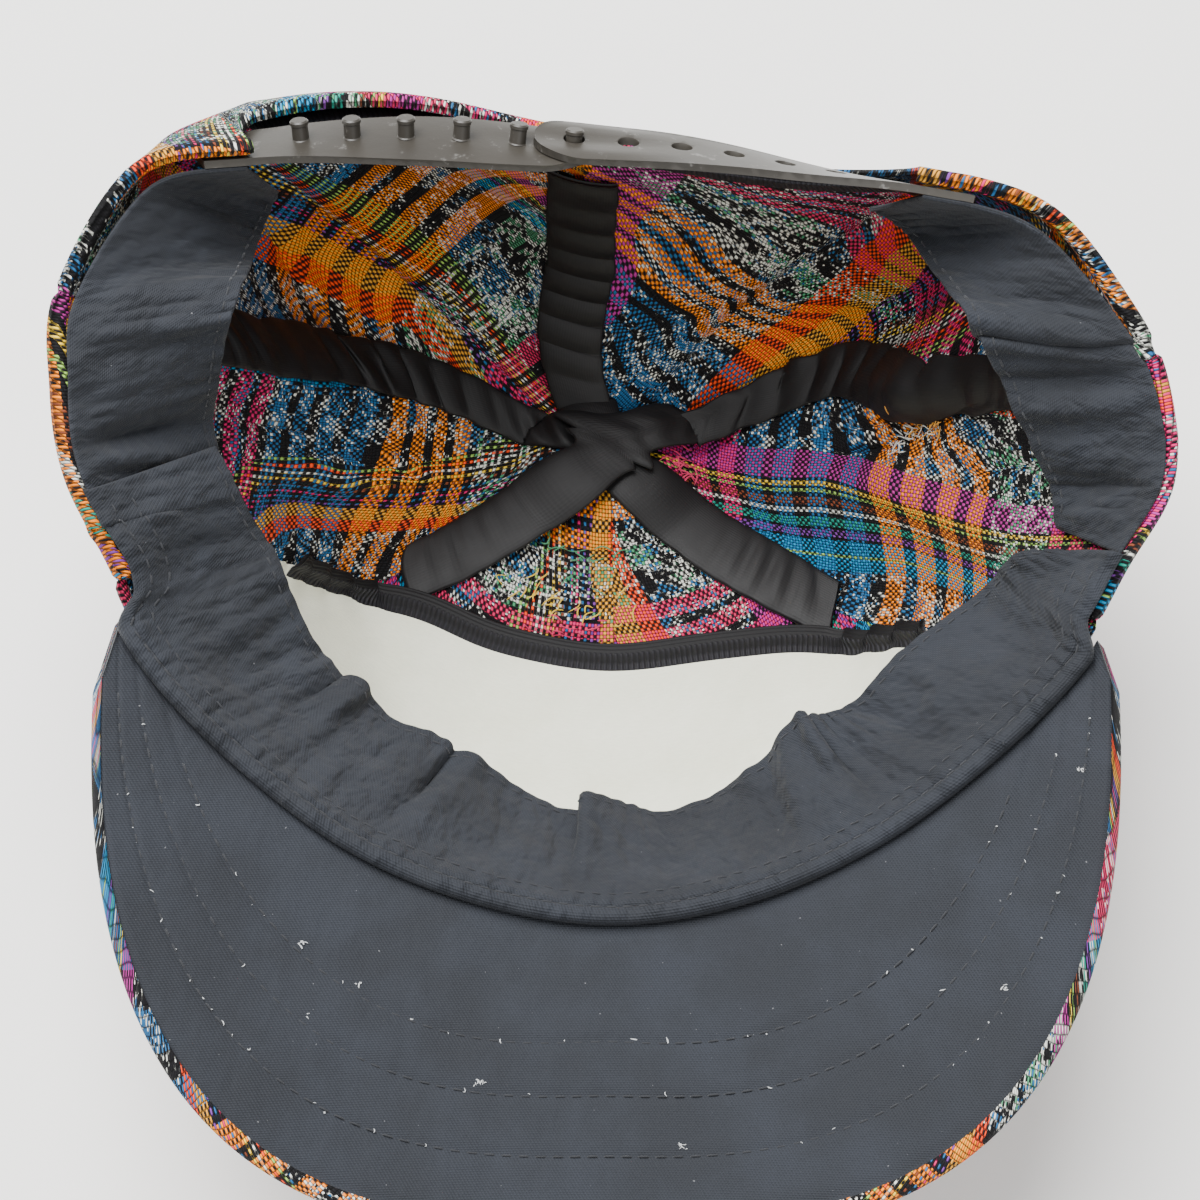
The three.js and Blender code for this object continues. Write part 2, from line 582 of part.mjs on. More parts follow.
function sideBand(rows, insetFrom, insetTo) {
  const middle = (i, j) => {
    const angle = mix(rows[0].angle, rows.at(-1).angle, i);
    const inset = mix(insetFrom, insetTo, smooth(i, 0.2, 0.8));
    const base = inFrame(crownAt(angle, shareFromRim(angle, BASE_DROP), inset));
    return standing(hanging(base, freeEdge(rows, angle, base), j), RIM_HEIGHT);
  };
  return evenShell(16, 4, middle, BAND);
}
const BY_STRAP = SIDE_BAND_INSET + STRAP + GAP;
add("sweatband_left", sideBand(leftBandRows, BY_STRAP, SIDE_BAND_INSET), "twill");
add("sweatband_right", sideBand(rightBandRows, SIDE_BAND_INSET, BY_STRAP), "twill");

// The face of the brim that the band lies on, in the crown's frame: it slopes up from its seam and is
// arched from side to side. down is the depth under it.
function brimPoint(across, back, down) {
  const rise = BRIM_SLOPE * (BRIM_FRONT.back - back);
  const point = new THREE.Vector3(across, back, BRIM_FRONT.up + rise + BRIM_ARCH * across ** 2);
  const normal = new THREE.Vector3(-2 * BRIM_ARCH * across, BRIM_SLOPE, 1).normalize();
  return point.addScaledVector(normal, -down);
}

// Level direction that points away from the crown at its rim.
function awayFromRim(angle) {
  const along = crownInFrame(angle + 1, 1).sub(crownInFrame(angle - 1, 1));
  return new THREE.Vector3(along.y, -along.x, 0).normalize();
}

// The front piece is sewn over the rim: from a lip on the brim, over the seam as a roll, and down to its
// free edge. At its two ends it lies inside the side pieces.
const FRONT_BAND_INSET = SIDE_BAND_INSET + BAND + GAP + 0.2;
const LIP = 2.6;
const ROLL_RISE = 2.1;
const ROLL_SHARE = 0.5; // share of the section's steps that the lip and the roll take

// 1 where the band is sewn over the rim, and 0 beyond the brim's two corners.
function overRim(angle) {
  const start = smooth(angle, BRIM.left - 3, BRIM.left + 2);
  const end = smooth(angle, BRIM.right - 3, BRIM.right + 2);
  return start * (1 - end);
}

function frontBand() {
  const rows = frontBandRows;
  const middle = (i, j) => {
    const angle = mix(rows[0].angle, rows.at(-1).angle, i);
    const over = overRim(angle);
    const rim = crownInFrame(angle, 1);
    const away = awayFromRim(angle);
    const inset = mix(FRONT_BAND_INSET, CLOTH + 4 * GAP + BAND / 2, over);
    const inner = inFrame(crownAt(angle, shareFromRim(angle, BASE_DROP), inset));
    const lipPlace = rim.clone().addScaledVector(away, LIP);
    const lip = brimPoint(lipPlace.x, lipPlace.y, -GAP - BAND / 2);
    const top = rim.clone().addScaledVector(away, -CLOTH / 2);
    top.z += ROLL_RISE;
    const start = inner.clone();
    start.z += 2 * BASE_DROP;
    if (j < ROLL_SHARE) {
      const t = j / ROLL_SHARE;
      const roll = new THREE.CatmullRomCurve3([lip, top, inner]).getPoint(t);
      return standing(start.clone().lerp(inner, t).lerp(roll, over), RIM_HEIGHT);
    }
    const t = (j - ROLL_SHARE) / (1 - ROLL_SHARE);
    return standing(hanging(inner, freeEdge(rows, angle, inner), t), RIM_HEIGHT);
  };
  return evenShell(35, 8, middle, BAND);
}
add("sweatband_front", frontBand(), "twill");

// One layer of the brim between its seam and its outline, from the table of its sections.
const BRIM_CORNER = 4; // degrees of the outline's arch that its two corners leave out
const BRIM_LEAST = 0.02; // at the corners the outline stays this share of the way off the seam
function brimLayer(rows) {
  const face = (side) => (i, j) => {
    const row = rows[Math.round(j * (rows.length - 1))];
    const [x, y] = squareArch(mix(BRIM_CORNER, 180 - BRIM_CORNER, i), BRIM.square);
    const outer = new THREE.Vector2(BRIM.middle + BRIM.halfWidth * x, BRIM.start - BRIM.reach * y);
    const angle = mix(BRIM.right, BRIM.left, i);
    const rim = crownInFrame(angle, 1).addScaledVector(awayFromRim(angle), BRIM_CLEAR);
    const seam = new THREE.Vector2(rim.x, rim.y);
    const t = Math.max(row.out - row.short / outer.distanceTo(seam), BRIM_LEAST * row.out);
    const place = seam.lerp(outer, t);
    return standing(brimPoint(place.x, place.y, row[side]), RIM_HEIGHT);
  };
  return clothShell(28, rows.length - 1, face("upper"), face("lower"));
}
add("brim_underside", brimLayer(brimUnderRows), "twill");
add("brim_top", brimLayer(brimTopRows), "ikat");

// Black binding inside the edge of the rear arch. It ends short of the rim, above the strap's ends.
const ARCH_BINDING = { outside: 0.6, end: 29 }; // off the cloth's edge, and degrees of the arch left out
function archPath(i) {
  const grow = ARCH_BINDING_WIDTH / 2 + ARCH_BINDING.outside;
  const perDegree = crownPoint(90, 1).distanceTo(crownPoint(91, 1));
  const [x, y] = squareArch(mix(ARCH_BINDING.end, 180 - ARCH_BINDING.end, i), ARCH.square);
  const angle = (ARCH.from + ARCH.to) / 2 + x * ((ARCH.to - ARCH.from) / 2 + grow / perDegree);
  return flatPlace(angle, shareFromRim(angle, y * (ARCH.height + grow)));
}
add("arch_binding", bandOnCrown(24, archPath, ARCH_BINDING_WIDTH, () => ON_CLOTH, BINDING), "tape");

// The angle at which the back of the rim lies this far across, found by halving.
function rimAngleAt(across) {
  const halvings = 40;
  let [low, high] = [40, 140];
  for (let n = 0; n < halvings; n++) {
    const angle = (low + high) / 2;
    if (crownInFrame(angle, 1).x > across) low = angle;
    else high = angle;
  }
  return low;
}

// A place on the strap: how far across the cap, how far off the strap's middle line, and the inset.
function strapPlace(across, off, inset) {
  const angle = rimAngleAt(across);
  const along = THREE.MathUtils.clamp((across - PEG_TAIL.root) / (HOLE_TAIL.root - PEG_TAIL.root), 0, 1);
  const lean = STRAP_LEAN * Math.sin(Math.PI * along) ** 2 * (off / STRAP_WIDTH + 0.5);
  return crownAt(angle, shareFromRim(angle, STRAP_FROM_RIM + STRAP_WIDTH / 2 + off), inset - lean);
}

const STRAP_INSET = HEM + GAP + 0.1 + STRAP / 2;
const pegInset = () => STRAP_INSET;
const LAPPED = { upTo: 5, until: 50 }; // the holes' tail lies outside the pegs' tail here, and then comes in
const holeInset = (across) => STRAP_INSET - (STRAP + GAP) * (1 - smooth(across, LAPPED.upTo, LAPPED.until));

// A tail of the strap from its round tip to its root in the hem.
const TIP_STEPS = 0.3; // share of the steps that the round tip takes
const TIP_LEAST = 0.12; // the tip starts this wide, as a share of the strap
function tail({ root, tip }, inset) {
  const half = STRAP_WIDTH / 2;
  const straight = tip + Math.sign(root - tip) * half;
  const middle = (i, j) => {
    const turn = (Math.PI / 2) * Math.min(i / TIP_STEPS, 1);
    const past = Math.max(i - TIP_STEPS, 0) / (1 - TIP_STEPS);
    const across = mix(mix(straight, tip, Math.cos(turn)), root, past);
    const reach = half * Math.max(Math.sin(turn), TIP_LEAST);
    return strapPlace(across, mix(-reach, reach, j), inset(across));
  };
  return evenShell(18, 3, middle, STRAP);
}

// A round pin through the strap, from an inset to a height above it along the cloth's normal.
function pin(across, radius, inset, from, to) {
  const low = strapPlace(across, 0, inset - from);
  const high = strapPlace(across, 0, inset - to);
  const way = high.clone().sub(low).normalize();
  const geometry = new THREE.CylinderGeometry(radius, radius, to - from, 12);
  geometry.applyQuaternion(new THREE.Quaternion().setFromUnitVectors(THREE.Object3D.DEFAULT_UP, way));
  geometry.translate(...low.add(high).multiplyScalar(0.5));
  return solidOf(geometry);
}

let pegTail = solidOf(tail(PEG_TAIL, pegInset));
let holeTail = solidOf(tail(HOLE_TAIL, holeInset));
for (let n = 0; n < SNAP_COUNT; n++) {
  const [peg, hole] = [FIRST_SNAP - n * SNAP_PITCH, FIRST_SNAP + n * SNAP_PITCH];
  pegTail = pegTail.add(pin(peg, PEG_RADIUS, pegInset(), 0, PEG_HEIGHT));
  holeTail = holeTail.subtract(pin(hole, HOLE_RADIUS, holeInset(hole), -STRAP, STRAP));
}
add("strap_pegs", geometryOf(pegTail), "plastic");
add("strap_holes", geometryOf(holeTail), "plastic");

// The origin goes under the middle of the cap's box.
const middleOfBox = new THREE.Box3().setFromObject(cap, true).getCenter(new THREE.Vector3());
cap.position.set(-middleOfBox.x, -middleOfBox.y, 0);

export default cap;
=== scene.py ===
# %% [markdown]
# # A snapback cap of ikat cloth, looked into from above
#
# The cap lies upside down on its crown. Its packed solids give every size and place. This lesson dresses
# them: each piece of cloth, felt, tape and plastic is made again as a fine mesh in the same place, and gets
# a finish of its own. Lengths are in millimetres, and turn into metres where a mesh is made.

# %% Load the frame
import math

import bpy
import numpy as np
from mathutils import Matrix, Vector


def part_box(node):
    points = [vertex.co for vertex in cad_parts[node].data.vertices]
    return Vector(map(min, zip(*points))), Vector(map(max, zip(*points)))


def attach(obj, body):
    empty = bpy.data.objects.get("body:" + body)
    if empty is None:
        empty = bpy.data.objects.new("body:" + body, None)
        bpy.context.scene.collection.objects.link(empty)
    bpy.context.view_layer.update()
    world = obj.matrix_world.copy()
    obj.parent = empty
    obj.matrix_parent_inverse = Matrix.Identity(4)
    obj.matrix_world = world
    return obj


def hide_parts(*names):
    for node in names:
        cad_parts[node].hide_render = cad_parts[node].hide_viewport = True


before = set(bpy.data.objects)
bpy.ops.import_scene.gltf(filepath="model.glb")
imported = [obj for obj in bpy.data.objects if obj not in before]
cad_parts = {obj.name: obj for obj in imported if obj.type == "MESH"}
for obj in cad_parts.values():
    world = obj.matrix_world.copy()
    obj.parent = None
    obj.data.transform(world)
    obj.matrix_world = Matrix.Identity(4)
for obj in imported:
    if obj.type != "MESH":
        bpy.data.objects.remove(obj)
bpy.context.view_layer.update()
chance = np.random.default_rng(26)

# %% [markdown]
# ## The crown as a formula
#
# A cap's crown is a dome of six gores that ends in an uneven oval rim. It could be sculpted, but a formula
# is better: any point is found from an angle round the crown and a share of the way from the button to the
# rim, and whatever is sewn on later asks the same formula for its place. Tables hold what is uneven: the
# rim, the large folds and the six seams.

# %% Sizes of the crown


def columns(names, *rows):
    """A table of rows as named columns."""
    return dict(zip(names.split(), np.array(rows, float).T))


CROWN_DEPTH = 113
BUTTON_BACK = 15
ROLL = math.radians(26)
FLOOR_SINK = 16
FLOOR_SOFTNESS = 4
FLARE_POWER = 5
PANEL_REACH = 155
FOLD_ORIGIN = 0.35
BUTTON_RADIUS = 6.5
BUTTON_HEIGHT = 3.8
BUTTON_GAP = 0.3
DIMPLE = (9, 24)
BUTTON_HOLE = 0.035
RIM_STEP = 15
print("crown", CROWN_DEPTH, "mm deep, and about", PANEL_REACH, "mm from button to rim along the cloth")

# %% The rim: its place at each angle, in millimetres, how it flares, and how square the crown is there
RIM = columns(
    "angle across back up flare full",
    (0, 108.5, 9, -4, 0.3, 2.2),
    (15, 107.5, 27, -2, 0.28, 2.2),
    (30, 100, 43.5, 0, 0.2, 2.2),
    (45, 84, 62, 1, -0.02, 2.2),
    (60, 60, 69, 2, -0.08, 2.2),
    (75, 30, 71, 4, -0.17, 2.2),
    (90, -5, 71.5, 5, -0.32, 2.2),
    (105, -37, 73, 4, -0.48, 2.2),
    (120, -68, 74, 1, -0.32, 2.2),
    (135, -92, 70, -2, -0.05, 2.2),
    (150, -107, 46, -1, 0.2, 2.2),
    (165, -108.5, 27, -2, 0.28, 2.2),
    (180, -106, 10, -4, 0.3, 2.2),
    (195, -98, -6.5, -6, 0.22, 2.2),
    (210, -88.5, -24.5, -6, 0.1, 2.3),
    (225, -71, -43, -6, 0.02, 2.4),
    (240, -49, -59.5, -6, -0.03, 2.4),
    (255, -24, -69.5, -6, -0.03, 2.4),
    (270, 1.5, -73, -6, -0.03, 2.4),
    (285, 27, -68.5, -6, -0.03, 2.4),
    (300, 50.5, -58, -6, -0.03, 2.4),
    (315, 71.5, -42.5, -6, 0.02, 2.4),
    (330, 89, -25, -6, 0.1, 2.3),
    (345, 100, -7, -6, 0.22, 2.2),
)
print("rim", np.ptp(RIM["across"]), "mm wide and", np.ptp(RIM["back"]), "mm from front to back")

# %% The large folds and the seams
LARGE_FOLDS = columns(
    "angle share runs length width push",
    (150, 0.58, 160, 34, 11, -3),
    (133, 0.6, 120, 36, 12, 3.5),
    (117, 0.55, 130, 30, 10, -2.5),
    (196, 0.5, 150, 34, 12, 3),
    (34, 0.6, 100, 22, 10, -3.5),
    (16, 0.6, 30, 34, 11, 3),
    (354, 0.62, 140, 26, 11, -3),
    (60, 0.5, 70, 26, 11, 2.5),
)

SEAMS = columns(
    "share rear_right back rear_left front_left front front_right",
    (0, 42, 99, 138, 222, 270, 309),
    (0.2, 42, 96, 138, 220, 270, 312),
    (0.4, 38, 91, 144, 213, 270, 320),
    (0.6, 26, 90, 148, 202, 270, 327),
    (0.8, 21, 90, 150, 199, 270, 333),
    (1, 22, 90, 150, 198, 270, 336),
)

ARCH = dict(start=61, end=120, height=42, square=2.3)
ARCH_SAG = 6  # how far its right half hangs lower
print(len(LARGE_FOLDS["push"]), "large folds,", len(SEAMS) - 1, "seams, an arch", ARCH["height"], "mm high")

# %% [markdown]
# ## Points of the crown
#
# Seen from the side, each line from button to rim is a quarter of a rounded square, which can flare out
# near the rim. Seen from above, the rim is a curve through the rows of its table. A fold pushes the cloth
# out along a short line, and is measured on the crown laid flat round its button. Last, the whole crown is
# rolled over to lie on the floor, where its own weight flattens it a little.

# %% Small helpers for numbers


def mix(a, b, t):
    return a + (b - a) * t


def smooth(x, low, high):
    t = np.clip((x - low) / (high - low), 0, 1)
    return t * t * (3 - 2 * t)


def unit(vectors):
    return vectors / np.maximum(np.linalg.norm(vectors, axis=-1, keepdims=True), 1e-9)


def on_circle(degrees):
    a = np.radians(degrees)
    return np.stack([np.cos(a), np.sin(a)], -1)


print("half way from 2 to 4 is", mix(2, 4, smooth(0.5, 0, 1)))

# %% Points of the crown


def ring(column, angle):
    """A column of the rim's table at any angle, by a Catmull-Rom curve."""
    values = RIM[column]
    place = np.mod(angle, 360) / RIM_STEP
    row = np.floor(place).astype(int)
    t = place - row
    a, b, c, d = (values[(row + k) % len(values)] for k in (-1, 0, 1, 2))
    curve = (2 * a - 5 * b + 4 * c - d) * t**2 + (3 * b - a - 3 * c + d) * t**3
    return 0.5 * (2 * b + (c - a) * t + curve)


def seam_angle(seam, share):
    return np.interp(share, SEAMS["share"], SEAMS[seam])


def fold_push(angle, share, folds):
    """How far a table of folds pushes the cloth out, on the crown laid flat round its button."""
    here = on_circle(angle) * np.asarray(share * PANEL_REACH)[..., None]
    centres = on_circle(folds["angle"]) * (folds["share"] * PANEL_REACH)[:, None]
    runs = on_circle(folds["runs"])
    push = np.zeros(here.shape[:-1])
    for k, centre in enumerate(centres):
        off = here - centre
        along = (off @ runs[k]) / folds["length"][k]
        beside = (off[..., 0] * runs[k][1] - off[..., 1] * runs[k][0]) / folds["width"][k]
        push += folds["push"][k] * np.exp(-(beside**2) - along**4)
    return push


def crown_in_frame(angle, share, folds=LARGE_FOLDS):
    """The outside of the crown in the rim's own frame."""
    angle, share = np.broadcast_arrays(np.asarray(angle, float), np.asarray(share, float))
    bend = math.pi / 2 * share
    full = ring("full", angle)
    squared = (np.sin(bend) ** full + np.maximum(np.cos(bend), 0) ** full) ** (-1 / full)
    flare = ring("flare", angle)
    reach = np.sin(bend) * squared * (1 - flare) + flare * share**FLARE_POWER
    rise = 1 - np.cos(bend) * squared
    point = np.stack(
        [
            ring("across", angle) * reach,
            BUTTON_BACK + (ring("back", angle) - BUTTON_BACK) * reach,
            -CROWN_DEPTH + (ring("up", angle) + CROWN_DEPTH) * rise,
        ],
        -1,
    )
    origin = np.array([0, BUTTON_BACK, -CROWN_DEPTH * FOLD_ORIGIN])
    return point + unit(point - origin) * fold_push(angle, share, folds)[..., None]


def rolled(point, turn):
    x, y, z = np.moveaxis(np.asarray(point, float), -1, 0)
    return np.stack([x, y * math.cos(turn) - z * math.sin(turn), y * math.sin(turn) + z * math.cos(turn)], -1)


def standing(point):
    """From the rim's frame to the floor's."""
    return rolled(point, ROLL) + (0, 0, RIM_HEIGHT)


def in_frame(point):
    """From the floor's frame back to the rim's."""
    return rolled(point - np.array([0, 0, RIM_HEIGHT]), -ROLL)


turns, shares = np.meshgrid(np.arange(0, 360, 5), np.arange(0, 0.8, 0.02))
RIM_HEIGHT = -rolled(crown_in_frame(turns, shares), ROLL)[..., 2].min() - FLOOR_SINK
BUTTON_AT = standing(crown_in_frame(0, 0))
low, high = (np.array(corner) * 1000 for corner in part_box("top_button"))
SHIFT = np.array([*((low + high) / 2 - BUTTON_AT)[:2], 0])
print(f"rim {RIM_HEIGHT:.2f} mm above the floor, shift {SHIFT.round(3)} mm")

# %% [markdown]
# ## Camera, floor and light
#
# The camera comes first, because it settles what shows. A long lens, well above the cap, looks down into it
# at 64 degrees. The room is a pale floor under broad, soft lamps, so dark cloth keeps its detail and throws
# no hard shadow.

# %% Camera
PICTURE_SIDE = 1200
FOCAL = 3412  # in pixels of that side
SENSOR = 36
ELEVATION = math.radians(64)
DISTANCE = 650
AIM = dict(right=-2.286, up=-13.14)


def make_camera():
    forward = np.array([0, math.cos(ELEVATION), -math.sin(ELEVATION)])
    right = np.array([1.0, 0, 0])
    up = np.cross(right, forward)
    middle = SHIFT + (0, 0, RIM_HEIGHT)
    eye = (middle - DISTANCE * forward + AIM["right"] * right + AIM["up"] * up) / 1000
    data = bpy.data.cameras.new("camera")
    data.sensor_width = SENSOR
    data.lens = FOCAL / PICTURE_SIDE * SENSOR
    camera = bpy.data.objects.new("camera", data)
    turn = np.eye(4)
    turn[:3] = np.stack([right, up, -forward, eye], 1)
    camera.matrix_world = Matrix(turn.tolist())
    bpy.context.scene.collection.objects.link(camera)
    bpy.context.scene.camera = camera
    return eye


eye = make_camera()
print("camera at", eye.round(3), "metres")

# %% [markdown]
# ## Lamps and room
#
# One wide lamp hangs behind and over the cap, so the far side of the crown throws a soft shadow inside it.
# A weak one in front keeps the brim from going flat, and the sky fills in the rest. A picture of a real
# room round the scene could light it too, but two lamps are easier to move.

# %% Lamps and room
SKY = dict(colour=(0.95, 0.97, 1, 1), strength=0.84)


def make_lamp(name, at, aim, size, power, colour=(1, 1, 1)):
    data = bpy.data.lights.new(name, "AREA")
    data.shape = "DISK"
    data.size = size
    data.energy = power
    data.color = colour
    lamp = bpy.data.objects.new(name, data)
    bpy.context.scene.collection.objects.link(lamp)
    way = unit(np.array(aim, float) - at)
    side = unit(np.cross(way, (0.1, 1, 0.05)))
    turn = np.eye(4)
    turn[:3] = np.stack([side, np.cross(side, way), -way, at], 1)
    lamp.matrix_world = Matrix(turn.tolist())


def make_room():
    world = bpy.data.worlds.new("room")
    world.use_nodes = True
    sky = world.node_tree.nodes["Background"]
    sky.inputs["Color"].default_value = SKY["colour"]
    sky.inputs["Strength"].default_value = SKY["strength"]
    bpy.context.scene.world = world
    make_lamp("overhead", (-0.35, 0.45, 1.4), (0, 0, 0.05), 1.3, 64)
    make_lamp("from_front", (0.5, -1.2, 1.1), (0, 0, 0.05), 1.2, 9.5, (1, 0.98, 0.95))


make_room()
print("lamps:", [(lamp.name, round(lamp.energy, 1)) for lamp in bpy.data.lights])

# %% [markdown]
# ## Shader arithmetic
#
# A finish here is a picture worked out from numbers, so it is written as a sum. `Field` wraps one output
# socket, and its operators add Math nodes. `Finish.node` adds every other node. Only what changes over a
# surface is linked; the rest is typed straight into the shader.

# %% Field


class Field:
    """One output socket of a node, with arithmetic."""

    def __init__(self, finish, socket):
        self.finish = finish
        self.socket = socket

    def math(self, operation, *others):
        sockets = dict(enumerate((self, *others)))
        return self.finish.node("ShaderNodeMath", {"operation": operation}, sockets)

    def __add__(self, other):
        return self.math("ADD", other)

    __radd__ = __add__

    def __sub__(self, other):
        return self.math("SUBTRACT", other)

    def __rsub__(self, other):
        return self.finish.node("ShaderNodeMath", {"operation": "SUBTRACT"}, {0: other, 1: self})

    def __mul__(self, other):
        return self.math("MULTIPLY", other)

    __rmul__ = __mul__

    def __truediv__(self, other):
        return self.math("DIVIDE", other)

    def __mod__(self, other):
        return self.math("FLOORED_MODULO", other)

    def __pow__(self, other):
        return self.math("POWER", other)

    def __abs__(self):
        return self.math("ABSOLUTE")

    def __gt__(self, other):
        return self.math("GREATER_THAN", other)

    def floor(self):
        return self.math("FLOOR")

    def sine(self):
        return self.math("SINE")

    def between(self, low, high):
        """0 at low, 1 at high, and soft between."""
        steps = {"Value": self, "From Min": low, "From Max": high}
        return self.finish.node("ShaderNodeMapRange", {"interpolation_type": "SMOOTHSTEP"}, steps, "Result")


print("a Field can also do:", [name for name in vars(Field) if not name.startswith("_")])

# %% Finish


class Finish:
    """A material in the making."""

    def __init__(self, name):
        self.material = bpy.data.materials.new(name)
        self.material.use_nodes = True
        self.tree = self.material.node_tree
        self.tree.nodes.clear()

    def node(self, kind, settings=None, sockets=None, output=0):
        node = self.tree.nodes.new(kind)
        for key, value in (settings or {}).items():
            if key == "stops":
                self.set_stops(node.color_ramp, value)
            else:
                setattr(node, key, value)
        for key, value in (sockets or {}).items():
            if isinstance(value, Field):
                self.tree.links.new(value.socket, node.inputs[key])
            else:
                node.inputs[key].default_value = value
        return Field(self, node.outputs[output])

    @staticmethod
    def set_stops(ramp, stops):
        ramp.interpolation = "CONSTANT"
        while len(ramp.elements) > 1:
            ramp.elements.remove(ramp.elements[-1])
        for n, (place, colour) in enumerate(stops):
            element = ramp.elements[0] if n == 0 else ramp.elements.new(place)
            element.position = place
            element.color = (*colour, 1)

    def cloth_place(self, layer="weave"):
        """Where a point lies on its cloth, in millimetres along and across the yarn."""
        place = self.node("ShaderNodeAttribute", {"attribute_name": layer}, None, "Vector")
        along, across = (self.node("ShaderNodeSeparateXYZ", None, {0: place}, axis) for axis in ("X", "Y"))
        return place, along, across

    def noise(self, vector, scale, detail=2.0, roughness=0.5, output="Fac"):
        sockets = {"Vector": vector, "Scale": scale, "Detail": detail, "Roughness": roughness}
        return self.node("ShaderNodeTexNoise", None, sockets, output)

    def random(self, number):
        return self.node("ShaderNodeTexWhiteNoise", {"noise_dimensions": "1D"}, {"W": number}, "Value")

    def vector(self, x, y, z=0.0):
        return self.node("ShaderNodeCombineXYZ", None, {0: x, 1: y, 2: z})

    def blend(self, factor, a, b, how="MIX"):
        """Colour a, turning to b as factor goes from 0 to 1."""
        node = self.tree.nodes.new("ShaderNodeMix")
        node.data_type = "RGBA"
        node.blend_type = how
        for socket, value in ((node.inputs[0], factor), (node.inputs[6], a), (node.inputs[7], b)):
            if isinstance(value, Field):
                self.tree.links.new(value.socket, socket)
            else:
                socket.default_value = (*value, 1) if isinstance(value, tuple) else value
        return Field(self, node.outputs[2])

    def shade(self, colour, factor):
        """A colour made lighter or darker by a number."""
        scaled = {0: colour, "Scale": factor}
        return self.node("ShaderNodeVectorMath", {"operation": "SCALE"}, scaled)

    def bump(self, height, millimetres, under=None):
        sockets = {"Height": height, "Distance": millimetres / 1000}
        if under is not None:
            sockets["Normal"] = under
        return self.node("ShaderNodeBump", None, sockets, "Normal")

    def surface(self, **sockets):
        """The shader itself. A socket's name has _ for each space."""
        named = {key.replace("_", " "): value for key, value in sockets.items()}
        shader = self.node("ShaderNodeBsdfPrincipled", None, named, "BSDF")
        output = self.tree.nodes.new("ShaderNodeOutputMaterial")
        self.tree.links.new(shader.socket, output.inputs["Surface"])
        print(f"{self.material.name}: {len(self.tree.nodes)} nodes")
        return self.material


def paint(red, green, blue):
    """A colour given in 0 to 255, as light."""
    c = np.array([red, green, blue]) / 255
    return tuple(np.where(c <= 0.04045, c / 12.92, ((c + 0.055) / 1.055) ** 2.4).tolist())


print("a mid grey as light:", np.round(paint(128, 128, 128), 3))

# %% [markdown]
# ## Ikat cloth
#
# Ikat is plain weave: yarns one way over and under yarns the other way. Some yarns are one colour, and some
# were tied and dyed before weaving, so their colour changes along them with feathered ends. The finish does
# the same. Two charts give the colour of the yarns each way, and at each crossing the yarn on top shows.
# Where a bright yarn crosses a dark one it looks like a net with dark dots, as it does in the cloth.

# %% Yarn colours
BLACK = paint(16, 15, 18)
WHITE = paint(222, 222, 212)
BLUE = paint(36, 98, 146)
TURQUOISE = paint(12, 138, 185)
TEAL = paint(30, 150, 130)
GREEN = paint(74, 150, 106)
LIME = paint(150, 190, 90)
YELLOW = paint(240, 200, 62)
OCHRE = paint(226, 158, 52)
ORANGE = paint(255, 138, 8)
VERMILION = paint(246, 74, 26)
BROWN = paint(122, 62, 38)
MAGENTA = paint(214, 30, 104)
PLUM = paint(176, 48, 140)
PINK = paint(220, 44, 96)
PURPLE = paint(120, 60, 150)
print("the blue yarn as light:", np.round(BLUE, 3))

# %% Charts of the two sets of yarns, as widths in millimetres from the start of the repeat
ROWS = [
    (18, BLUE, "ikat"),
    (6, PLUM, "plain"),
    (0.7, BLACK, "plain"),
    (0.8, YELLOW, "plain"),
    (0.6, BLACK, "plain"),
    (0.9, LIME, "plain"),
    (0.8, BLACK, "plain"),
    (1.5, BROWN, "plain"),
    (0.6, BLACK, "plain"),
    (1.0, WHITE, "plain"),
    (0.8, BLACK, "plain"),
    (1.9, TEAL, "plain"),
    (0.6, BLACK, "plain"),
    (1.5, PURPLE, "plain"),
    (0.7, BLACK, "plain"),
    (3.0, TURQUOISE, "plain"),
    (0.7, LIME, "plain"),
    (2.9, TURQUOISE, "plain"),
    (18, BLUE, "ikat"),
    (1.2, LIME, "netted"),
    (1.2, VERMILION, "netted"),
    (1.2, WHITE, "netted"),
    (1.2, YELLOW, "netted"),
    (1.4, BROWN, "netted"),
    (1.2, BLUE, "netted"),
    (1.2, MAGENTA, "netted"),
    (1.2, BLUE, "netted"),
    (1.2, PURPLE, "netted"),
    (3.4, OCHRE, "plain"),
    (3.2, VERMILION, "plain"),
]
COLUMNS = (
    [(4.4, MAGENTA, "plain"), (2.8, BLACK, "plain")] * 3
    + [(4.2, BLUE, "plain"), (3.0, BLACK, "plain")] * 4
    + [(4.4, ORANGE, "plain"), (2.8, BLACK, "plain")] * 4
    + [(20, GREEN, "ikat")]
    + [(4.2, PINK, "plain"), (3.0, BLACK, "plain")] * 2
)
ROW_YARN = 0.62
COLUMN_YARN = 0.9
WANDER = 2.4  # how far a yarn strays from its straight line
FEATHER = 1.9  # how far the dyed ends of neighbouring ikat yarns lie apart
BRIGHT_SHOWS = 0.26  # how much more of a bright yarn shows than of a dark one it crosses
DYED = dict(along=3.4, across=9.0, white=0.505, stripe=0.56)  # patches: their size, and from where they show


def repeat_of(chart):
    return sum(stripe[0] for stripe in chart)


def chart_stops(chart, colour_of):
    """The chart as the stops of a ramp."""
    starts = np.cumsum([0] + [stripe[0] for stripe in chart]) / repeat_of(chart)
    return [(start, colour_of(*stripe[1:])) for start, stripe in zip(starts, chart)]


print(f"the rows repeat each {repeat_of(ROWS):.1f} mm and the columns each {repeat_of(COLUMNS):.1f} mm")

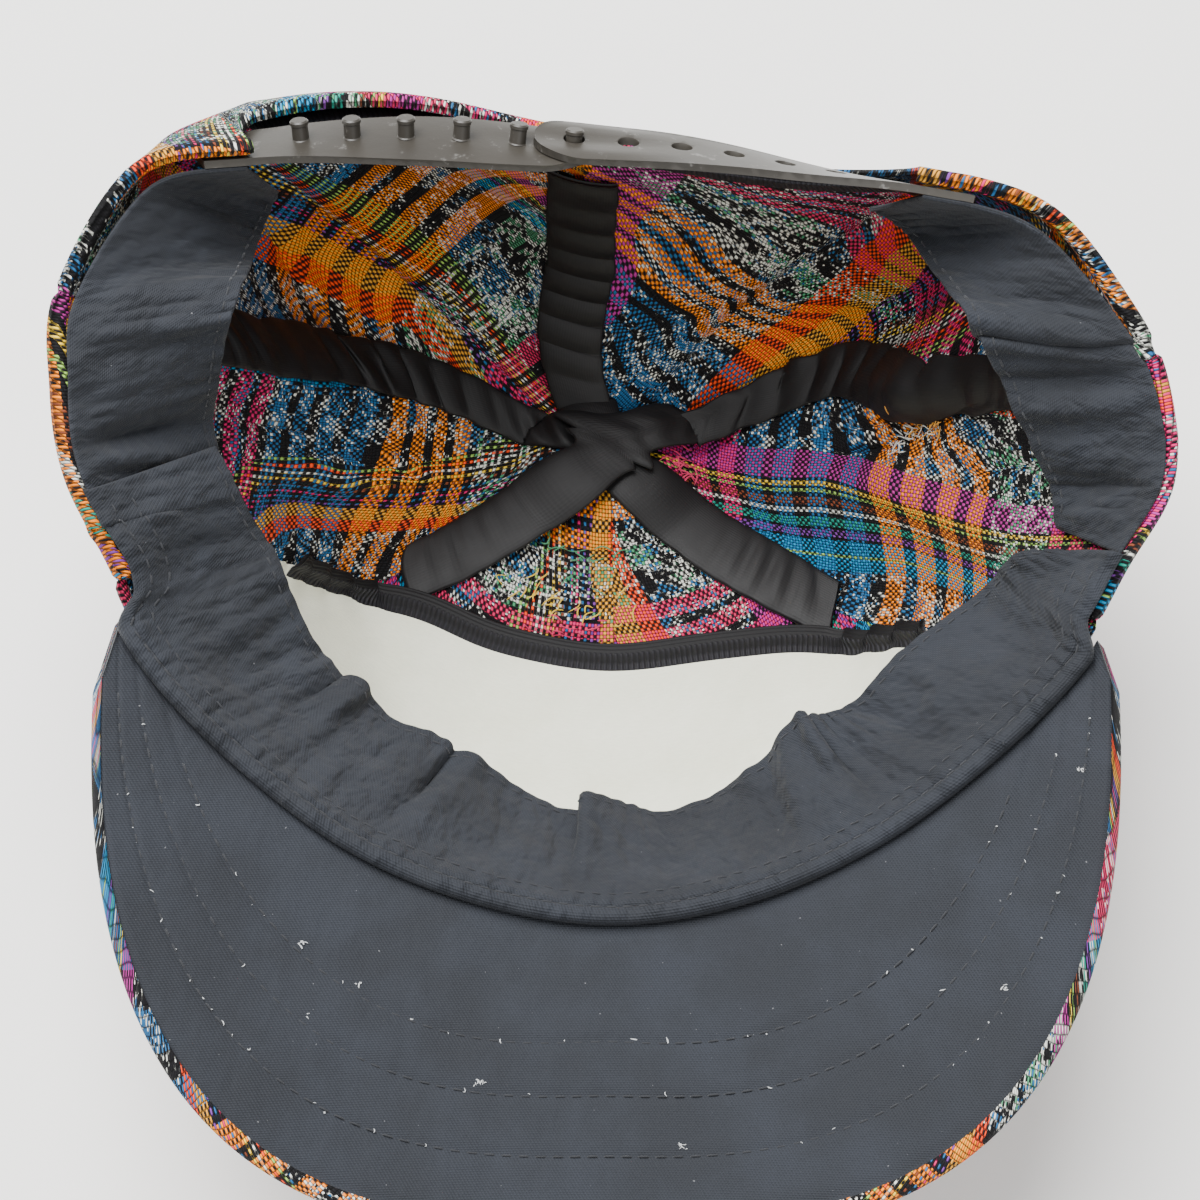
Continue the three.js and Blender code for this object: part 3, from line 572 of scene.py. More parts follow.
# %% [markdown]
# ## From charts to yarns
#
# Each chart becomes a colour ramp across the cloth. A second ramp, of only black and white, marks the
# stripes of one kind. A dyed patch is noise that was stretched along the yarn, and every yarn lags behind
# its neighbour by a random bit, which feathers the patch. A netted stripe has a dark yarn at every second
# place, as a fine check has.

# %% One set of yarns


def marked(finish, chart, kind, place):
    """1 where the chart has stripes of a kind, and 0 elsewhere."""
    stops = chart_stops(chart, lambda colour, its_kind: (1.0,) * 3 if its_kind == kind else (0.0,) * 3)
    return finish.node("ShaderNodeValToRGB", {"stops": stops}, {0: place})


def dyed_yarn(finish, chart, across, along, yarn, seed):
    """The colour of one set of yarns, from its chart."""
    place = (across / repeat_of(chart)) % 1.0
    stops = chart_stops(chart, lambda colour, kind: colour)
    stripe = finish.node("ShaderNodeValToRGB", {"stops": stops}, {0: place})
    lag = (finish.random(yarn + seed) - 0.5) * (2 * FEATHER)
    spot = finish.vector((along + lag) / DYED["along"], across / DYED["across"], seed)
    patch = finish.noise(spot, 1.0, 2.0, 0.6)
    dye = finish.blend(patch > DYED["white"], BLACK, WHITE)
    dye = finish.blend(patch > DYED["stripe"], dye, stripe)
    colour = finish.blend(marked(finish, chart, "ikat", place), stripe, dye)
    second = (yarn % 2.0) > 0.5
    colour = finish.blend(marked(finish, chart, "netted", place) * second, colour, BLACK)
    return finish.shade(colour, 0.86 + 0.28 * finish.random(yarn * 1.37 + seed))


print("yarns are", ROW_YARN, "and", COLUMN_YARN, "mm wide")

# %% [markdown]
# ## The weave
#
# Two sine waves multiplied tell which yarn is on top: above 0 a row, below 0 a column. The yarns have
# places of their own, apart from those of the stripes, so they keep their width where the cloth is pulled
# askew. The same product gives the relief, and paints shade into the gaps between yarns.

# %% The ikat finish


def ikat_finish():
    finish = Finish("ikat_cloth")
    s, t = finish.cloth_place()[1:]
    place, along, across = finish.cloth_place("thread")
    along = along + (finish.noise(place, 0.07, 1.0) - 0.5) * WANDER
    across = across + (finish.noise(finish.vector(across, along), 0.06, 1.0) - 0.5) * WANDER
    over_under = (along * (math.pi / COLUMN_YARN)).sine()
    over_under = over_under * (across * (math.pi / ROW_YARN)).sine()
    row = dyed_yarn(finish, ROWS, t, s, (across / ROW_YARN).floor(), 3.0)
    column = dyed_yarn(finish, COLUMNS, s, t, (along / COLUMN_YARN).floor(), 11.0)
    lights = [finish.node("ShaderNodeRGBToBW", None, {0: colour}) for colour in (row, column)]
    brighter = (lights[0] - lights[1]) * 1.4
    top = over_under + brighter.math("MINIMUM", BRIGHT_SHOWS).math("MAXIMUM", -BRIGHT_SHOWS)
    colour = finish.blend(top.between(-0.1, 0.1), column, row)
    relief = abs(over_under)
    fuzz = finish.noise(place, 2.2, 3.0, 0.7)
    # Painted shade: the colour goes dark where the relief is low, in the gaps between yarns.
    colour = finish.shade(colour, (0.1 + 0.9 * relief.between(0.0, 0.5)) * (0.75 + 0.5 * fuzz))
    normal = finish.bump(relief**0.5 + 0.35 * fuzz, 0.22)
    return finish.surface(Base_Color=colour, Roughness=0.85, Normal=normal, Specular_IOR_Level=0.25)


IKAT = ikat_finish()

# %% [markdown]
# ## Twill
#
# The sweatband and the brim's underside are one dark twill: fine slanting ribs with painted shade in their
# grooves, a faint bloom where it has rubbed, and specks of lint. It could be a flat colour at arm's length,
# but the camera is close enough to see the yarn. A second, slower bump gives the limp band its soft dents,
# and the stiff brim next to none.

# %% Twill finish
TWILL_RIB = 0.62
TWILL_YARN = 0.42
SLATE = paint(30, 33, 39)


def twill_finish(name, tint, lint, dented):
    finish = Finish(name)
    place, along, across = finish.cloth_place()
    ribs = ((along + across * 0.62) * (2 * math.pi / TWILL_RIB)).sine()
    yarn = (across * (2 * math.pi / TWILL_YARN)).sine()
    worn = finish.noise(place, 0.045, 4.0, 0.6)
    grain = finish.noise(place, 1.9, 3.0, 0.7)
    specks = finish.noise(place, 1.1, 1.0).between(0.72 - lint, 0.78 - lint)
    colour = finish.blend(worn.between(0.35, 0.7), tint, tuple(1.55 * c for c in tint))
    # Painted shade: the colour darkens along the grooves of the ribs and between the yarns. The grain is the
    # yarn's own uneven tone.
    colour = finish.shade(colour, 0.62 + 0.12 * ribs + 0.08 * yarn + 0.5 * grain)
    colour = finish.blend(specks * 0.35, colour, paint(170, 170, 172))
    dents = finish.noise(finish.vector(along * 0.11, across * 0.07), 1.0, 3.0, 0.5)
    normal = finish.bump(ribs * 0.3 + yarn * 0.35 + grain * 0.8, 0.1, finish.bump(dents, dented))
    shine = dict(Roughness=0.7 + 0.2 * worn, Sheen_Weight=0.05, Specular_IOR_Level=0.35)
    return finish.surface(Base_Color=colour, Normal=normal, **shine)


TWILL = twill_finish("slate_twill", SLATE, -0.06, 6.0)
BRIM_TWILL = twill_finish("slate_twill_of_brim", SLATE, -0.06, 0.8)

# %% [markdown]
# ## Tape and binding
#
# The tapes are black satin ribbon with fine lengthwise ribs, and shine a little. The binding is such a tape
# with an overlocked upper half, where thread is wound round and round its edge. Both have ribs too fine to
# model, so two sine waves raise them and paint shade into their grooves.

# %% Tape and binding finishes
TAPE_RIB = 0.6
TAPE_WEAVE = 1.1
OVERLOCK = dict(pitch=1.15, start=2.4, full=3.0)  # its ribs, and how far across the binding they begin


def tape_finish():
    finish = Finish("black_tape")
    place, along, across = finish.cloth_place()
    ribs = (across * (2 * math.pi / TAPE_RIB)).sine()
    weave = (along * (2 * math.pi / TAPE_WEAVE)).sine()
    patches = finish.noise(place, 0.12, 3.0, 0.6)
    colour = finish.blend(patches, paint(9, 8, 9), paint(20, 18, 19))
    # Painted shade: the colour darkens a little in the grooves between the ribs.
    colour = finish.shade(colour, 0.9 + 0.08 * ribs)
    normal = finish.bump(ribs * 0.3 + weave * 0.2 + patches, 0.025)
    rough = 0.48 + 0.2 * patches
    return finish.surface(Base_Color=colour, Roughness=rough, Normal=normal, Specular_IOR_Level=0.35)


def binding_finish():
    """A binding: tape along one half of its width and overlocked ribs along the other."""
    finish = Finish("overlocked_binding")
    place, along, across = finish.cloth_place()
    ribbed = across.between(OVERLOCK["start"], OVERLOCK["full"])
    rib = (along * (2 * math.pi / OVERLOCK["pitch"])).sine()
    line = (across * (2 * math.pi / 0.9)).sine()
    grain = finish.noise(place, 1.5, 3.0, 0.7)
    # The overlocked half is a lighter colour, and painted shade darkens the grooves between its wraps.
    colour = finish.blend(ribbed * (0.65 + 0.35 * rib), paint(12, 11, 13), paint(32, 31, 36))
    colour = finish.shade(colour, 0.7 + 0.6 * grain)
    normal = finish.bump(ribbed * rib + (1 - ribbed) * 0.3 * line + 0.4 * grain, 0.13)
    return finish.surface(Base_Color=colour, Roughness=0.65, Normal=normal, Specular_IOR_Level=0.3)


TAPE = tape_finish()
BINDING = binding_finish()

# %% [markdown]
# ## Felt
#
# The backing is non-woven felt, ivory and fibrous. Hair strands could make it, but slowly. Noise drawn out
# one way reads as fibres from here, over slow, faint clouds.

# %% Felt finish


def felt_finish():
    finish = Finish("ivory_felt")
    place, along, across = finish.cloth_place()
    fibres = finish.noise(finish.vector(along * 0.35, across * 1.6), 1.4, 5.0, 0.75)
    clouds = finish.noise(place, 0.09, 3.0, 0.55)
    colour = finish.blend(clouds, paint(230, 231, 208), paint(250, 250, 232))
    colour = finish.shade(colour, 0.86 + 0.24 * fibres)
    normal = finish.bump(fibres + 0.5 * clouds, 0.16)
    return finish.surface(Base_Color=colour, Roughness=0.93, Normal=normal, Sheen_Weight=0.2)


FELT = felt_finish()

# %% [markdown]
# ## Plastic, loose yarn and floor
#
# The snap strap is grey moulded plastic with a satin skin and small scuffs. Stitches, lint and frayed yarn
# share one finish that differs only in colour. These pieces have no place on a cloth, so their noise is
# laid out in space.

# %% Plastic finish


def plastic_finish():
    finish = Finish("grey_plastic")
    place = finish.node("ShaderNodeTexCoord", None, None, "Object")
    scuffs = finish.noise(place, 260.0, 4.0, 0.7)
    haze = finish.noise(place, 45.0, 3.0, 0.5)
    colour = finish.blend(haze, paint(40, 37, 33), paint(55, 51, 44))
    colour = finish.blend(scuffs.between(0.6, 0.72) * 0.4, colour, paint(140, 138, 134))
    normal = finish.bump(scuffs + haze, 0.05)
    return finish.surface(Base_Color=colour, Roughness=0.34 + 0.2 * haze, Normal=normal)


PLASTIC = plastic_finish()

# %% Yarn and lint finishes


def yarn_finish(name, colour):
    finish = Finish(name)
    place = finish.node("ShaderNodeTexCoord", None, None, "Object")
    fibre = finish.noise(place, 900.0, 3.0, 0.7)
    shaded = finish.blend(fibre, colour, tuple(0.6 * c for c in colour))
    shaded = finish.shade(shaded, 0.8 + 0.4 * fibre)
    normal = finish.bump(fibre, 0.1)
    return finish.surface(Base_Color=shaded, Roughness=0.85, Normal=normal, Sheen_Weight=0.2)


DARK_THREAD = yarn_finish("dark_thread", paint(33, 35, 40))
LINT = yarn_finish("white_lint", paint(200, 202, 202))

# %% Floor finish


def floor_finish():
    finish = Finish("pale_floor")
    place = finish.node("ShaderNodeTexCoord", None, None, "Object")
    clouds = finish.noise(place, 6.0, 2.0, 0.5)
    grain = finish.noise(place, 700.0, 2.0, 0.5)
    colour = finish.blend(clouds, paint(243, 242, 238), paint(250, 249, 246))
    return finish.surface(Base_Color=colour, Roughness=0.6 + 0.1 * grain, Specular_IOR_Level=0.2)


FLOOR = floor_finish()

# %% [markdown]
# ## Making a mesh from a grid
#
# Every cloth here is a thin closed body. It is made from two grids of points, its two faces, joined round
# their edges. A solidify modifier could do that too, but then the edge could not be rounded or turned, and
# the yarn's direction would be lost. Each vertex keeps its place on the flat cloth in an attribute that the
# finishes read.

# %% Mesh helpers
pieces_made = {}


def new_object(name, points, faces, weave=None):
    """A mesh object from points in millimetres and quads. weave has the place of each point on the cloth, in
    2 numbers, or 4 where the yarns have a place of their own."""
    mesh = bpy.data.meshes.new(name)
    places = (points.reshape(-1, 3) + SHIFT) / 1000
    mesh.vertices.add(len(places))
    mesh.vertices.foreach_set("co", places.astype(np.float32).ravel())
    mesh.loops.add(faces.size)
    mesh.loops.foreach_set("vertex_index", faces.astype(np.int32).ravel())
    mesh.polygons.add(len(faces))
    mesh.polygons.foreach_set("loop_start", np.arange(0, faces.size, faces.shape[1], dtype=np.int32))
    mesh.update(calc_edges=True)
    mesh.validate()
    if weave is not None:
        weave = weave.reshape(len(places), -1)
        for layer_name, pair in (("weave", weave[:, :2]), ("thread", weave[:, -2:])):
            layer = mesh.attributes.new(layer_name, "FLOAT_VECTOR", "POINT")
            flat = np.zeros((len(places), 3), np.float32)
            flat[:, :2] = pair
            layer.data.foreach_set("vector", flat.ravel())
    mesh.shade_smooth()
    piece = bpy.data.objects.new(name, mesh)
    bpy.context.scene.collection.objects.link(piece)
    return piece


print("vertex attributes for the finishes: weave, thread")

# %% Dressing a piece


def dress(piece, material, slot, *nodes):
    """Gives a piece its finish and says what it rides on and stands for."""
    piece.data.materials.append(material)
    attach(piece, "root")
    if nodes:
        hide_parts(*nodes)
    pieces_made[piece.name] = sum(len(face.vertices) - 2 for face in piece.data.polygons)
    print(f"{piece.name}: {pieces_made[piece.name]} triangles")
    return piece


print("a cap has no hinge, so every piece rides on the root body")

# %% Closed bodies from grids


def cells(at):
    """The quads of a grid of vertex numbers."""
    return np.stack([at[:-1, :-1], at[1:, :-1], at[1:, 1:], at[:-1, 1:]], -1).reshape(-1, 4)


def facing_out(points, faces):
    """Turns all quads round if the body they close would have a volume less than 0."""
    a, b, c, d = (points[faces[:, k]] for k in range(4))
    volume = (np.cross(a, b) * c).sum() + (np.cross(a, c) * d).sum()
    return faces if volume > 0 else faces[:, ::-1]


def shell(name, outer, inner, weave=None, inner_weave=None):
    """A closed body between two grids of points."""
    count = outer.shape[0] * outer.shape[1]
    at = np.arange(count).reshape(outer.shape[:2])
    inn = at + count
    edges = [(at[::-1, 0], inn[::-1, 0]), (at[:, -1], inn[:, -1])]
    edges += [(at[0], inn[0]), (at[-1, ::-1], inn[-1, ::-1])]
    strips = [np.stack([a[:-1], a[1:], b[1:], b[:-1]], -1) for a, b in edges]
    faces = np.concatenate([cells(at)[:, ::-1], cells(inn), *strips])
    points = np.concatenate([outer.reshape(-1, 3), inner.reshape(-1, 3)])
    faces = facing_out(points, faces)
    if weave is not None:
        inner_weave = weave if inner_weave is None else inner_weave
        weave = np.concatenate([face.reshape(count, -1) for face in (weave, inner_weave)])
    return new_object(name, points, faces, weave)


print("a grid of 3 by 3 points has", len(cells(np.arange(9).reshape(3, 3))), "quads")

# %% Measures of a grid, and bodies of even thickness


def normals_of(grid):
    along = np.gradient(grid, axis=0)
    over = np.gradient(grid, axis=1)
    return unit(np.cross(along, over))


def stations(count, length, radius):
    """Places from 0 to 1 along an edge of some length, closer together where its two ends are rounded."""
    share = min(radius / length, 0.2)
    steps = share * np.array([0, 0.06, 0.25, 0.55])
    return np.concatenate([steps, np.linspace(share, 1 - share, count), 1 - steps[::-1]])


def rounding(places, length, radius):
    """How full the thickness is near rounded ends, from almost 0 to 1."""
    off = np.minimum(places, 1 - places) * length / radius
    return np.sqrt(np.clip(1 - (1 - np.minimum(off, 1)) ** 2, 0.01, 1))


def arc_lengths(grid, axis):
    """Distance along one axis of a grid, from its start."""
    steps = np.linalg.norm(np.diff(grid, axis=axis), axis=-1)
    start = np.zeros_like(np.take(steps, [0], axis=axis))
    return np.concatenate([start, np.cumsum(steps, axis=axis)], axis=axis)


def even_shell(name, middle, thickness, weave=None, full=1.0):
    """A body of even thickness on both sides of a grid. full thins it towards rounded edges."""
    half = normals_of(middle) * (thickness / 2 * np.asarray(full))[..., None]
    if weave is None:
        weave = np.stack([arc_lengths(middle, 0), arc_lengths(middle, 1)], -1)
    return shell(name, middle + half, middle - half, weave)


print("share of the thickness 0.1 mm in from an edge rounded by 0.5 mm:", rounding(0.1, 1, 0.5).round(2))

# %% [markdown]
# ## Creases of the crown
#
# Besides its large folds, worn cotton has many small ones, and it puckers along each seam. They are added
# to the same formula, so that the tapes sewn on the cloth crease with it.

# %% Small creases and puckers
PUCKER = dict(push=0.4, pitch=8.5, reach=9)


def small_folds(count):
    """Seeded creases, most of them on the soft sides and back."""
    right = chance.uniform(0, 60, count // 2)
    angle = np.concatenate([right, chance.uniform(110, 200, count - count // 2)])
    share = chance.uniform(0.35, 0.95, count)
    runs = angle + chance.normal(0, 35, count)
    length = chance.uniform(8, 20, count)
    width = chance.uniform(2.2, 4.5, count)
    push = chance.normal(0, 0.7, count)
    return dict(angle=angle, share=share, runs=runs, length=length, width=width, push=push)


CREASES = small_folds(44)
ALL_FOLDS = {key: np.concatenate([LARGE_FOLDS[key], CREASES[key]]) for key in LARGE_FOLDS}
print(f"{len(CREASES['push'])} small creases, the deepest {np.abs(CREASES['push']).max():.1f} mm")


def puckers(angle, share):
    """Short waves across each seam, in millimetres."""
    total = 0
    per_degree = 1.6 * np.sin(math.pi / 2 * np.clip(share, 0, 1))
    for n, seam in enumerate(list(SEAMS)[1:]):
        off = (np.mod(angle - seam_angle(seam, share) + 180, 360) - 180) * per_degree
        along = share * PANEL_REACH
        wave = np.sin(2 * math.pi * along / PUCKER["pitch"] + n + 1.3 * np.sin(along / 11 + n))
        total = total + PUCKER["push"] * wave * np.exp(-((off / PUCKER["reach"]) ** 2))
    return total * smooth(share, 0.1, 0.3)


print(f"the pucker on the back seam at 100 mm is {float(puckers(90, 100 / PANEL_REACH)):.2f} mm high")

# %% The surface that everything is sewn to


def flattened(z):
    """Heights over the floor, eased to 0 where they would go under it."""
    soft = (z + FLOOR_SOFTNESS) ** 2 / (4 * FLOOR_SOFTNESS)
    return np.where(z >= FLOOR_SOFTNESS, z, np.where(z <= -FLOOR_SOFTNESS, 0, soft))


def crown_point(angle, share):
    """The outside of the crown on the floor, with all its folds."""
    angle, share = np.broadcast_arrays(np.asarray(angle, float), np.asarray(share, float))
    point = crown_in_frame(angle, share, ALL_FOLDS)
    origin = np.array([0, BUTTON_BACK, -CROWN_DEPTH * FOLD_ORIGIN])
    point = standing(point + unit(point - origin) * puckers(angle, share)[..., None])
    off = np.hypot(point[..., 0] - BUTTON_AT[0], point[..., 1] - BUTTON_AT[1])
    dimple = (BUTTON_HEIGHT + BUTTON_GAP) * (1 - smooth(off, *DIMPLE))
    point[..., 2] = np.maximum(flattened(point[..., 2]), dimple)
    return point


def crown_at(angle, share, inset):
    """A point at a depth under the outside of the crown."""
    angle, share = np.broadcast_arrays(np.asarray(angle, float), np.asarray(share, float))
    near = np.maximum(share, 0.012)
    da, ds = 0.5, 0.004
    round_ = crown_point(angle + da, near) - crown_point(angle - da, near)
    up = crown_point(angle, np.minimum(near + ds, 1)) - crown_point(angle, near - ds)
    return crown_point(angle, share) - unit(np.cross(round_, up)) * np.asarray(inset)[..., None]


def share_from_rim(angle, distance):
    """The share of the way to the rim at which a point is this many millimetres short of it."""
    stretch = np.linalg.norm(crown_point(angle, 1) - crown_point(angle, 0.98), axis=-1) / 0.02
    return 1 - distance / stretch


def polar(flat):
    """Flat places on the crown as angles and shares."""
    return np.degrees(np.arctan2(flat[..., 1], flat[..., 0])), np.linalg.norm(flat, axis=-1)


def flat_place(angle, share):
    return on_circle(angle) * np.asarray(share)[..., None]


print("32 mm in from the rim, at its left, the share is", share_from_rim(180, 32).round(3))

# %% [markdown]
# ## How the cloth lies
#
# Every gore is cut from the cloth at another slant, and the cloth pulls out of line as it is sewn. So a
# table pins places of each gore to places of the cloth's charts, and a thin plate bent near those pins lays
# the stripes. A second, stiffer plate lays the yarns, so that they keep an even width.

# %% Sizes of the gores
CLOTH = 1.3
HEM = 3.0
HEM_HEIGHT = 6
SEAM_DIP = 0.9
GORE_ROWS = 110
GORE_COLUMNS = 80
STRIPE_STIFFNESS = 60
YARN_STIFFNESS = 6000
SEEN = 125  # how far from the button the inside shows, in millimetres
print("grid of a gore:", GORE_COLUMNS, "by", GORE_ROWS, "points, and a few more near the rim")

# %% Pins
# Each row is a place on the gore, in millimetres from its middle line and from the button, and then the
# place on the chart that lies there: for "rows" on the chart of rows, and for "columns" on that of columns.
LAY = {
    "side_right": dict(
        rows=(
            (-18.8, 25, 43), (-12, 25, 36.4), (2.5, 25, 24), (8.2, 28, 18), (-18.6, 45, 43),
            (-11.4, 45, 36.4), (2, 45, 24), (8, 45, 18), (20, 45, 5), (-18.3, 60, 43), (-11.6, 60, 36.4),
            (0.9, 60, 24), (6.3, 60, 18), (-19, 77, 43), (-12.6, 77, 36.4), (-1.5, 77, 24),
            (4.2, 77, 18), (-21, 98, 43), (-16, 98, 36.4), (-5, 98, 24), (1, 98, 18), (-7.2, 118, 24),
            (-1.8, 118, 18), (14, 110, 2), (-8, 157, 24), (-2, 157, 18), (-20, 157, 36), (22, 157, -6),
        ),
        columns=(
            (-6, 9.5, 2.2), (-5, 16, 9.4), (-4, 22.3, 16.6), (-18, 28, 23.7), (0, 29, 23.7),
            (10, 29, 23.7), (-18, 35.5, 30.9), (5, 36, 30.9), (-18, 44.5, 38.1), (5, 45.5, 38.1),
            (15, 45, 38.1), (-20, 55, 45.3), (0, 56, 45.3), (-22, 66, 52.6), (0, 68, 52.6),
            (10, 65, 52.6), (-22, 76.5, 59.8), (0, 79, 59.8), (10, 76.5, 59.8), (-22, 87.5, 67),
            (-1, 91, 67), (8, 88, 67), (-22, 99, 74.2), (-4, 102, 74.2), (5, 100, 74.2),
            (-4, 106.5, 79.2), (13, 88, 79.2), (-6, 157, 128), (-27, 157, 126), (24, 157, 130),
        ),
    ),
    "side_left": dict(
        rows=(
            (-8, 20, 61), (0, 20, 66), (6.5, 20, 72), (-3, 40, 61), (1.5, 40, 66), (5.8, 40, 72),
            (11.6, 40, 78.8), (-0.8, 57, 61), (3, 57, 66), (8, 57, 72), (13.8, 57, 78.8), (-0.3, 70, 61),
            (3, 70, 66), (8.8, 70, 72), (14.5, 70, 78.8), (-0.8, 90, 61), (3.5, 90, 66), (9.3, 90, 72),
            (15.5, 90, 78.8), (-19, 60, 43), (-19, 100, 43), (0, 157, 30), (27, 157, 36), (-27, 157, 24),
        ),
        columns=(
            (0, 14, 93), (0, 29, 79.2), (7, 32.5, 74.2), (-2, 31.5, 74.2), (9, 40, 67), (2, 38.5, 67),
            (-9, 33, 67), (9, 47.5, 59.8), (2, 46.5, 59.8), (-10, 38, 59.8), (12, 56, 52.6),
            (3, 55.5, 52.6), (-3, 50, 52.6), (-10, 44, 52.6), (-17, 39, 52.6), (6, 66, 45.3),
            (12, 66, 45.3), (-18, 50, 45.3), (6, 76, 38.1), (12, 76, 38.1), (-18, 60, 38.1),
            (6, 86, 30.9), (-18, 70, 30.9), (7, 96, 23.7), (-18, 79, 22), (-17, 86, 16.6),
            (-5, 96, 16.6), (-17, 94, 9.4), (-5, 104, 9.4), (-17, 103, 2.2), (0, 157, -47),
            (-27, 157, -49), (27, 157, -47),
        ),
    ),
    "back_right": dict(
        rows=(
            (-32, 55, 61), (-34, 66, 61), (-25, 45, 66), (-24, 55, 66), (-21, 65, 66), (-20, 42, 72),
            (-20, 52, 72), (-18.5, 62, 72), (-17, 70, 72), (-12, 42, 75.4), (-9.5, 62, 75.4),
            (-4, 82, 75.4), (-4, 35, 78.8), (-5, 48, 78.8), (-3.5, 62, 78.8), (-1, 75, 78.8),
            (2, 88, 78.8), (6, 100, 78.8), (36, 48, 96.8), (45, 66, 96.8), (55, 82, 96.8),
            (66, 98, 96.8), (5, 5, 84), (76, 130, 98), (-12, 157, 66),
        ),
        columns=(
            (3, 2, 17), (0, 6, 21.6), (10, 14, 21.6), (0, 20, 36), (15, 32, 36), (0, 37.5, 52.6),
            (20, 54.5, 52.6), (40, 68, 52.6), (55, 82, 52.6), (0, 51, 77), (20, 70, 77), (40, 89, 77),
            (60, 110, 77), (-8, 35, 52.6), (-8, 42, 59.8), (-17, 43, 62), (-17, 60, 78), (-5, 72, 99.2),
            (5, 82, 99.2), (20, 98, 99.2), (34, 112, 99.2), (-3, 86, 111), (5, 104, 111), (-30, 60, 80),
            (-20, 157, 176), (40, 157, 140), (85, 157, 110),
        ),
    ),
    "back_left": dict(
        rows=(
            (-10, 35, 61), (-14, 45, 61), (-19, 60, 61), (-22, 72, 61), (-21, 88, 61), (-18, 100, 61),
            (-6, 45, 66), (-8, 55, 66), (-5, 65, 66), (-2, 75, 66), (1, 85, 66), (4, 97, 66),
            (-3, 45, 72), (-3, 55, 72), (0, 62, 72), (2, 70, 72), (4, 78, 72), (7, 88, 72),
            (9, 60, 75.4), (10, 70, 75.4), (14, 80, 75.4), (10, 53, 78.8), (15, 65, 78.8),
            (18, 75, 78.8), (22, 88, 78.8), (-50, 78, 43), (-58, 95, 43), (-66, 104, 24),
            (24, 157, 78.8), (4, 157, 66),
        ),
        columns=(
            (-3, 18, 111), (0, 28, 101), (-10, 34.5, 101), (-20, 42.5, 101), (-30, 50, 101),
            (5, 57.5, 74.2), (5, 66.5, 67), (5, 73.5, 59.8), (8, 82, 50.4), (10, 90, 43),
            (-10, 68, 74.2), (-20, 76, 74.2), (-30, 84.5, 74.2), (-40, 94, 74.2), (-50, 103, 74.2),
            (-60, 112, 74.2), (-10, 77, 67), (-30, 94, 67), (-45, 108, 67), (-10, 86, 59.8),
            (-20, 95, 59.8), (-40, 112, 59.8), (-20, 106, 47), (-10, 98, 48), (20, 80, 55), (25, 95, 42),
            (0, 157, -20), (40, 157, -15), (-50, 150, 20),
        ),
    ),
    "front_left": dict(
        rows=(
            (5, 17, 72), (9, 24, 72), (14, 31, 72), (20, 39, 72), (-3, 20, 61), (-1, 30, 61),
            (0, 40, 61), (2.5, 20, 66), (5, 28, 66), (8, 35, 66), (11, 41, 66), (14, 15, 78.8),
            (20, 25, 78.8), (28, 36, 78.8), (-20, 42, 43), (-40, 150, 20), (0, 150, 61), (40, 150, 100),
        ),
        columns=(
            (0, 14, 72), (0, 22, 79.2), (-10, 35, 97), (12, 35, 97), (0, 42, 104), (-20, 48, 110),
            (-40, 150, 210), (0, 150, 210), (40, 150, 210),
        ),
    ),
    "front_right": dict(
        rows=(
            (-13, 20, 72), (-16, 30, 72), (-20, 40, 72), (-7.5, 20, 78.8), (-7.5, 30, 78.8),
            (-7.5, 44, 78.8), (10, 45, 96), (40, 150, 126), (-7.5, 150, 78.8), (-50, 150, 36),
        ),
        columns=(
            (-8, 20, 86), (-8, 31, 98), (-2, 34.5, 101.3), (-2, 41.2, 108.5), (5, 48, 116),
            (-40, 150, 216), (0, 150, 216), (40, 150, 216),
        ),
    ),
}


print(sum(len(pins) for lay in LAY.values() for pins in lay.values()), "pins")

# %% Thin plates


def thin_plate(points, stiffness):
    """A smooth surface near rows of (x, y, value), as a plate of springy metal would take it."""
    x, y, value = np.array(points, float).T
    place = np.stack([x, y], -1)

    def bend(a, b):
        r2 = ((a[..., None, :] - b) ** 2).sum(-1)
        return r2 * np.log(r2 + 1e-9)

    n = len(value)
    system = np.zeros((n + 3, n + 3))
    system[:n, :n] = bend(place, place) + np.eye(n) * stiffness
    system[:n, n] = 1
    system[:n, n + 1 :] = place
    system[n:, :n] = system[:n, n:].T
    weights = np.linalg.solve(system, np.concatenate([value, np.zeros(3)]))

    def surface(u, v):
        here = np.stack([u, v], -1)
        return bend(here, place) @ weights[:n] + weights[n] + here @ weights[n + 1 :]

    return surface


def even_pitch(surface):
    """The surface scaled so that it rises about 1 in each millimetre, for yarns of even width."""
    u, v = np.meshgrid(np.linspace(-20, 20, 9), np.linspace(40, 150, 12))
    rise = np.hypot(surface(u + 1, v) - surface(u - 1, v), surface(u, v + 1) - surface(u, v - 1)) / 2
    return lambda u, v: surface(u, v) / rise.mean()


def cloth_map(lay):
    """Gives places on a gore their places on the chart, and then the places of their yarns."""
    pins = [lay["columns"], lay["rows"]]
    maps = [thin_plate(points, STRIPE_STIFFNESS) for points in pins]
    inside = [[pin for pin in points if pin[1] < SEEN] for points in pins]
    maps += [even_pitch(thin_plate(points, YARN_STIFFNESS)) for points in inside]
    return lambda u, v: np.stack([place(u, v) for place in maps], -1)


u, v, value = np.array(LAY["back_left"]["rows"], float).T
off = np.abs(cloth_map(LAY["back_left"])(u, v)[:, 1] - value)
print(f"the back left plate misses its pins by {off.mean():.1f} mm on average, {off.max():.1f} mm at most")

# %% [markdown]
# ## Crown panels
#
# Six gores make the crown. Each is a grid between its two seams, open at the top for the button and cut
# away at the back for the arch. The rim is turned in, so its edge is thick and round. One dome cut in six
# afterwards would have ragged edges. A grid that follows the seams keeps the dip along them crisp.

# %% Edges of the gores


def sagging(angle):
    """1 in the right half of the arch, 0 in the left."""
    return 1 - smooth(angle, 84, 94)


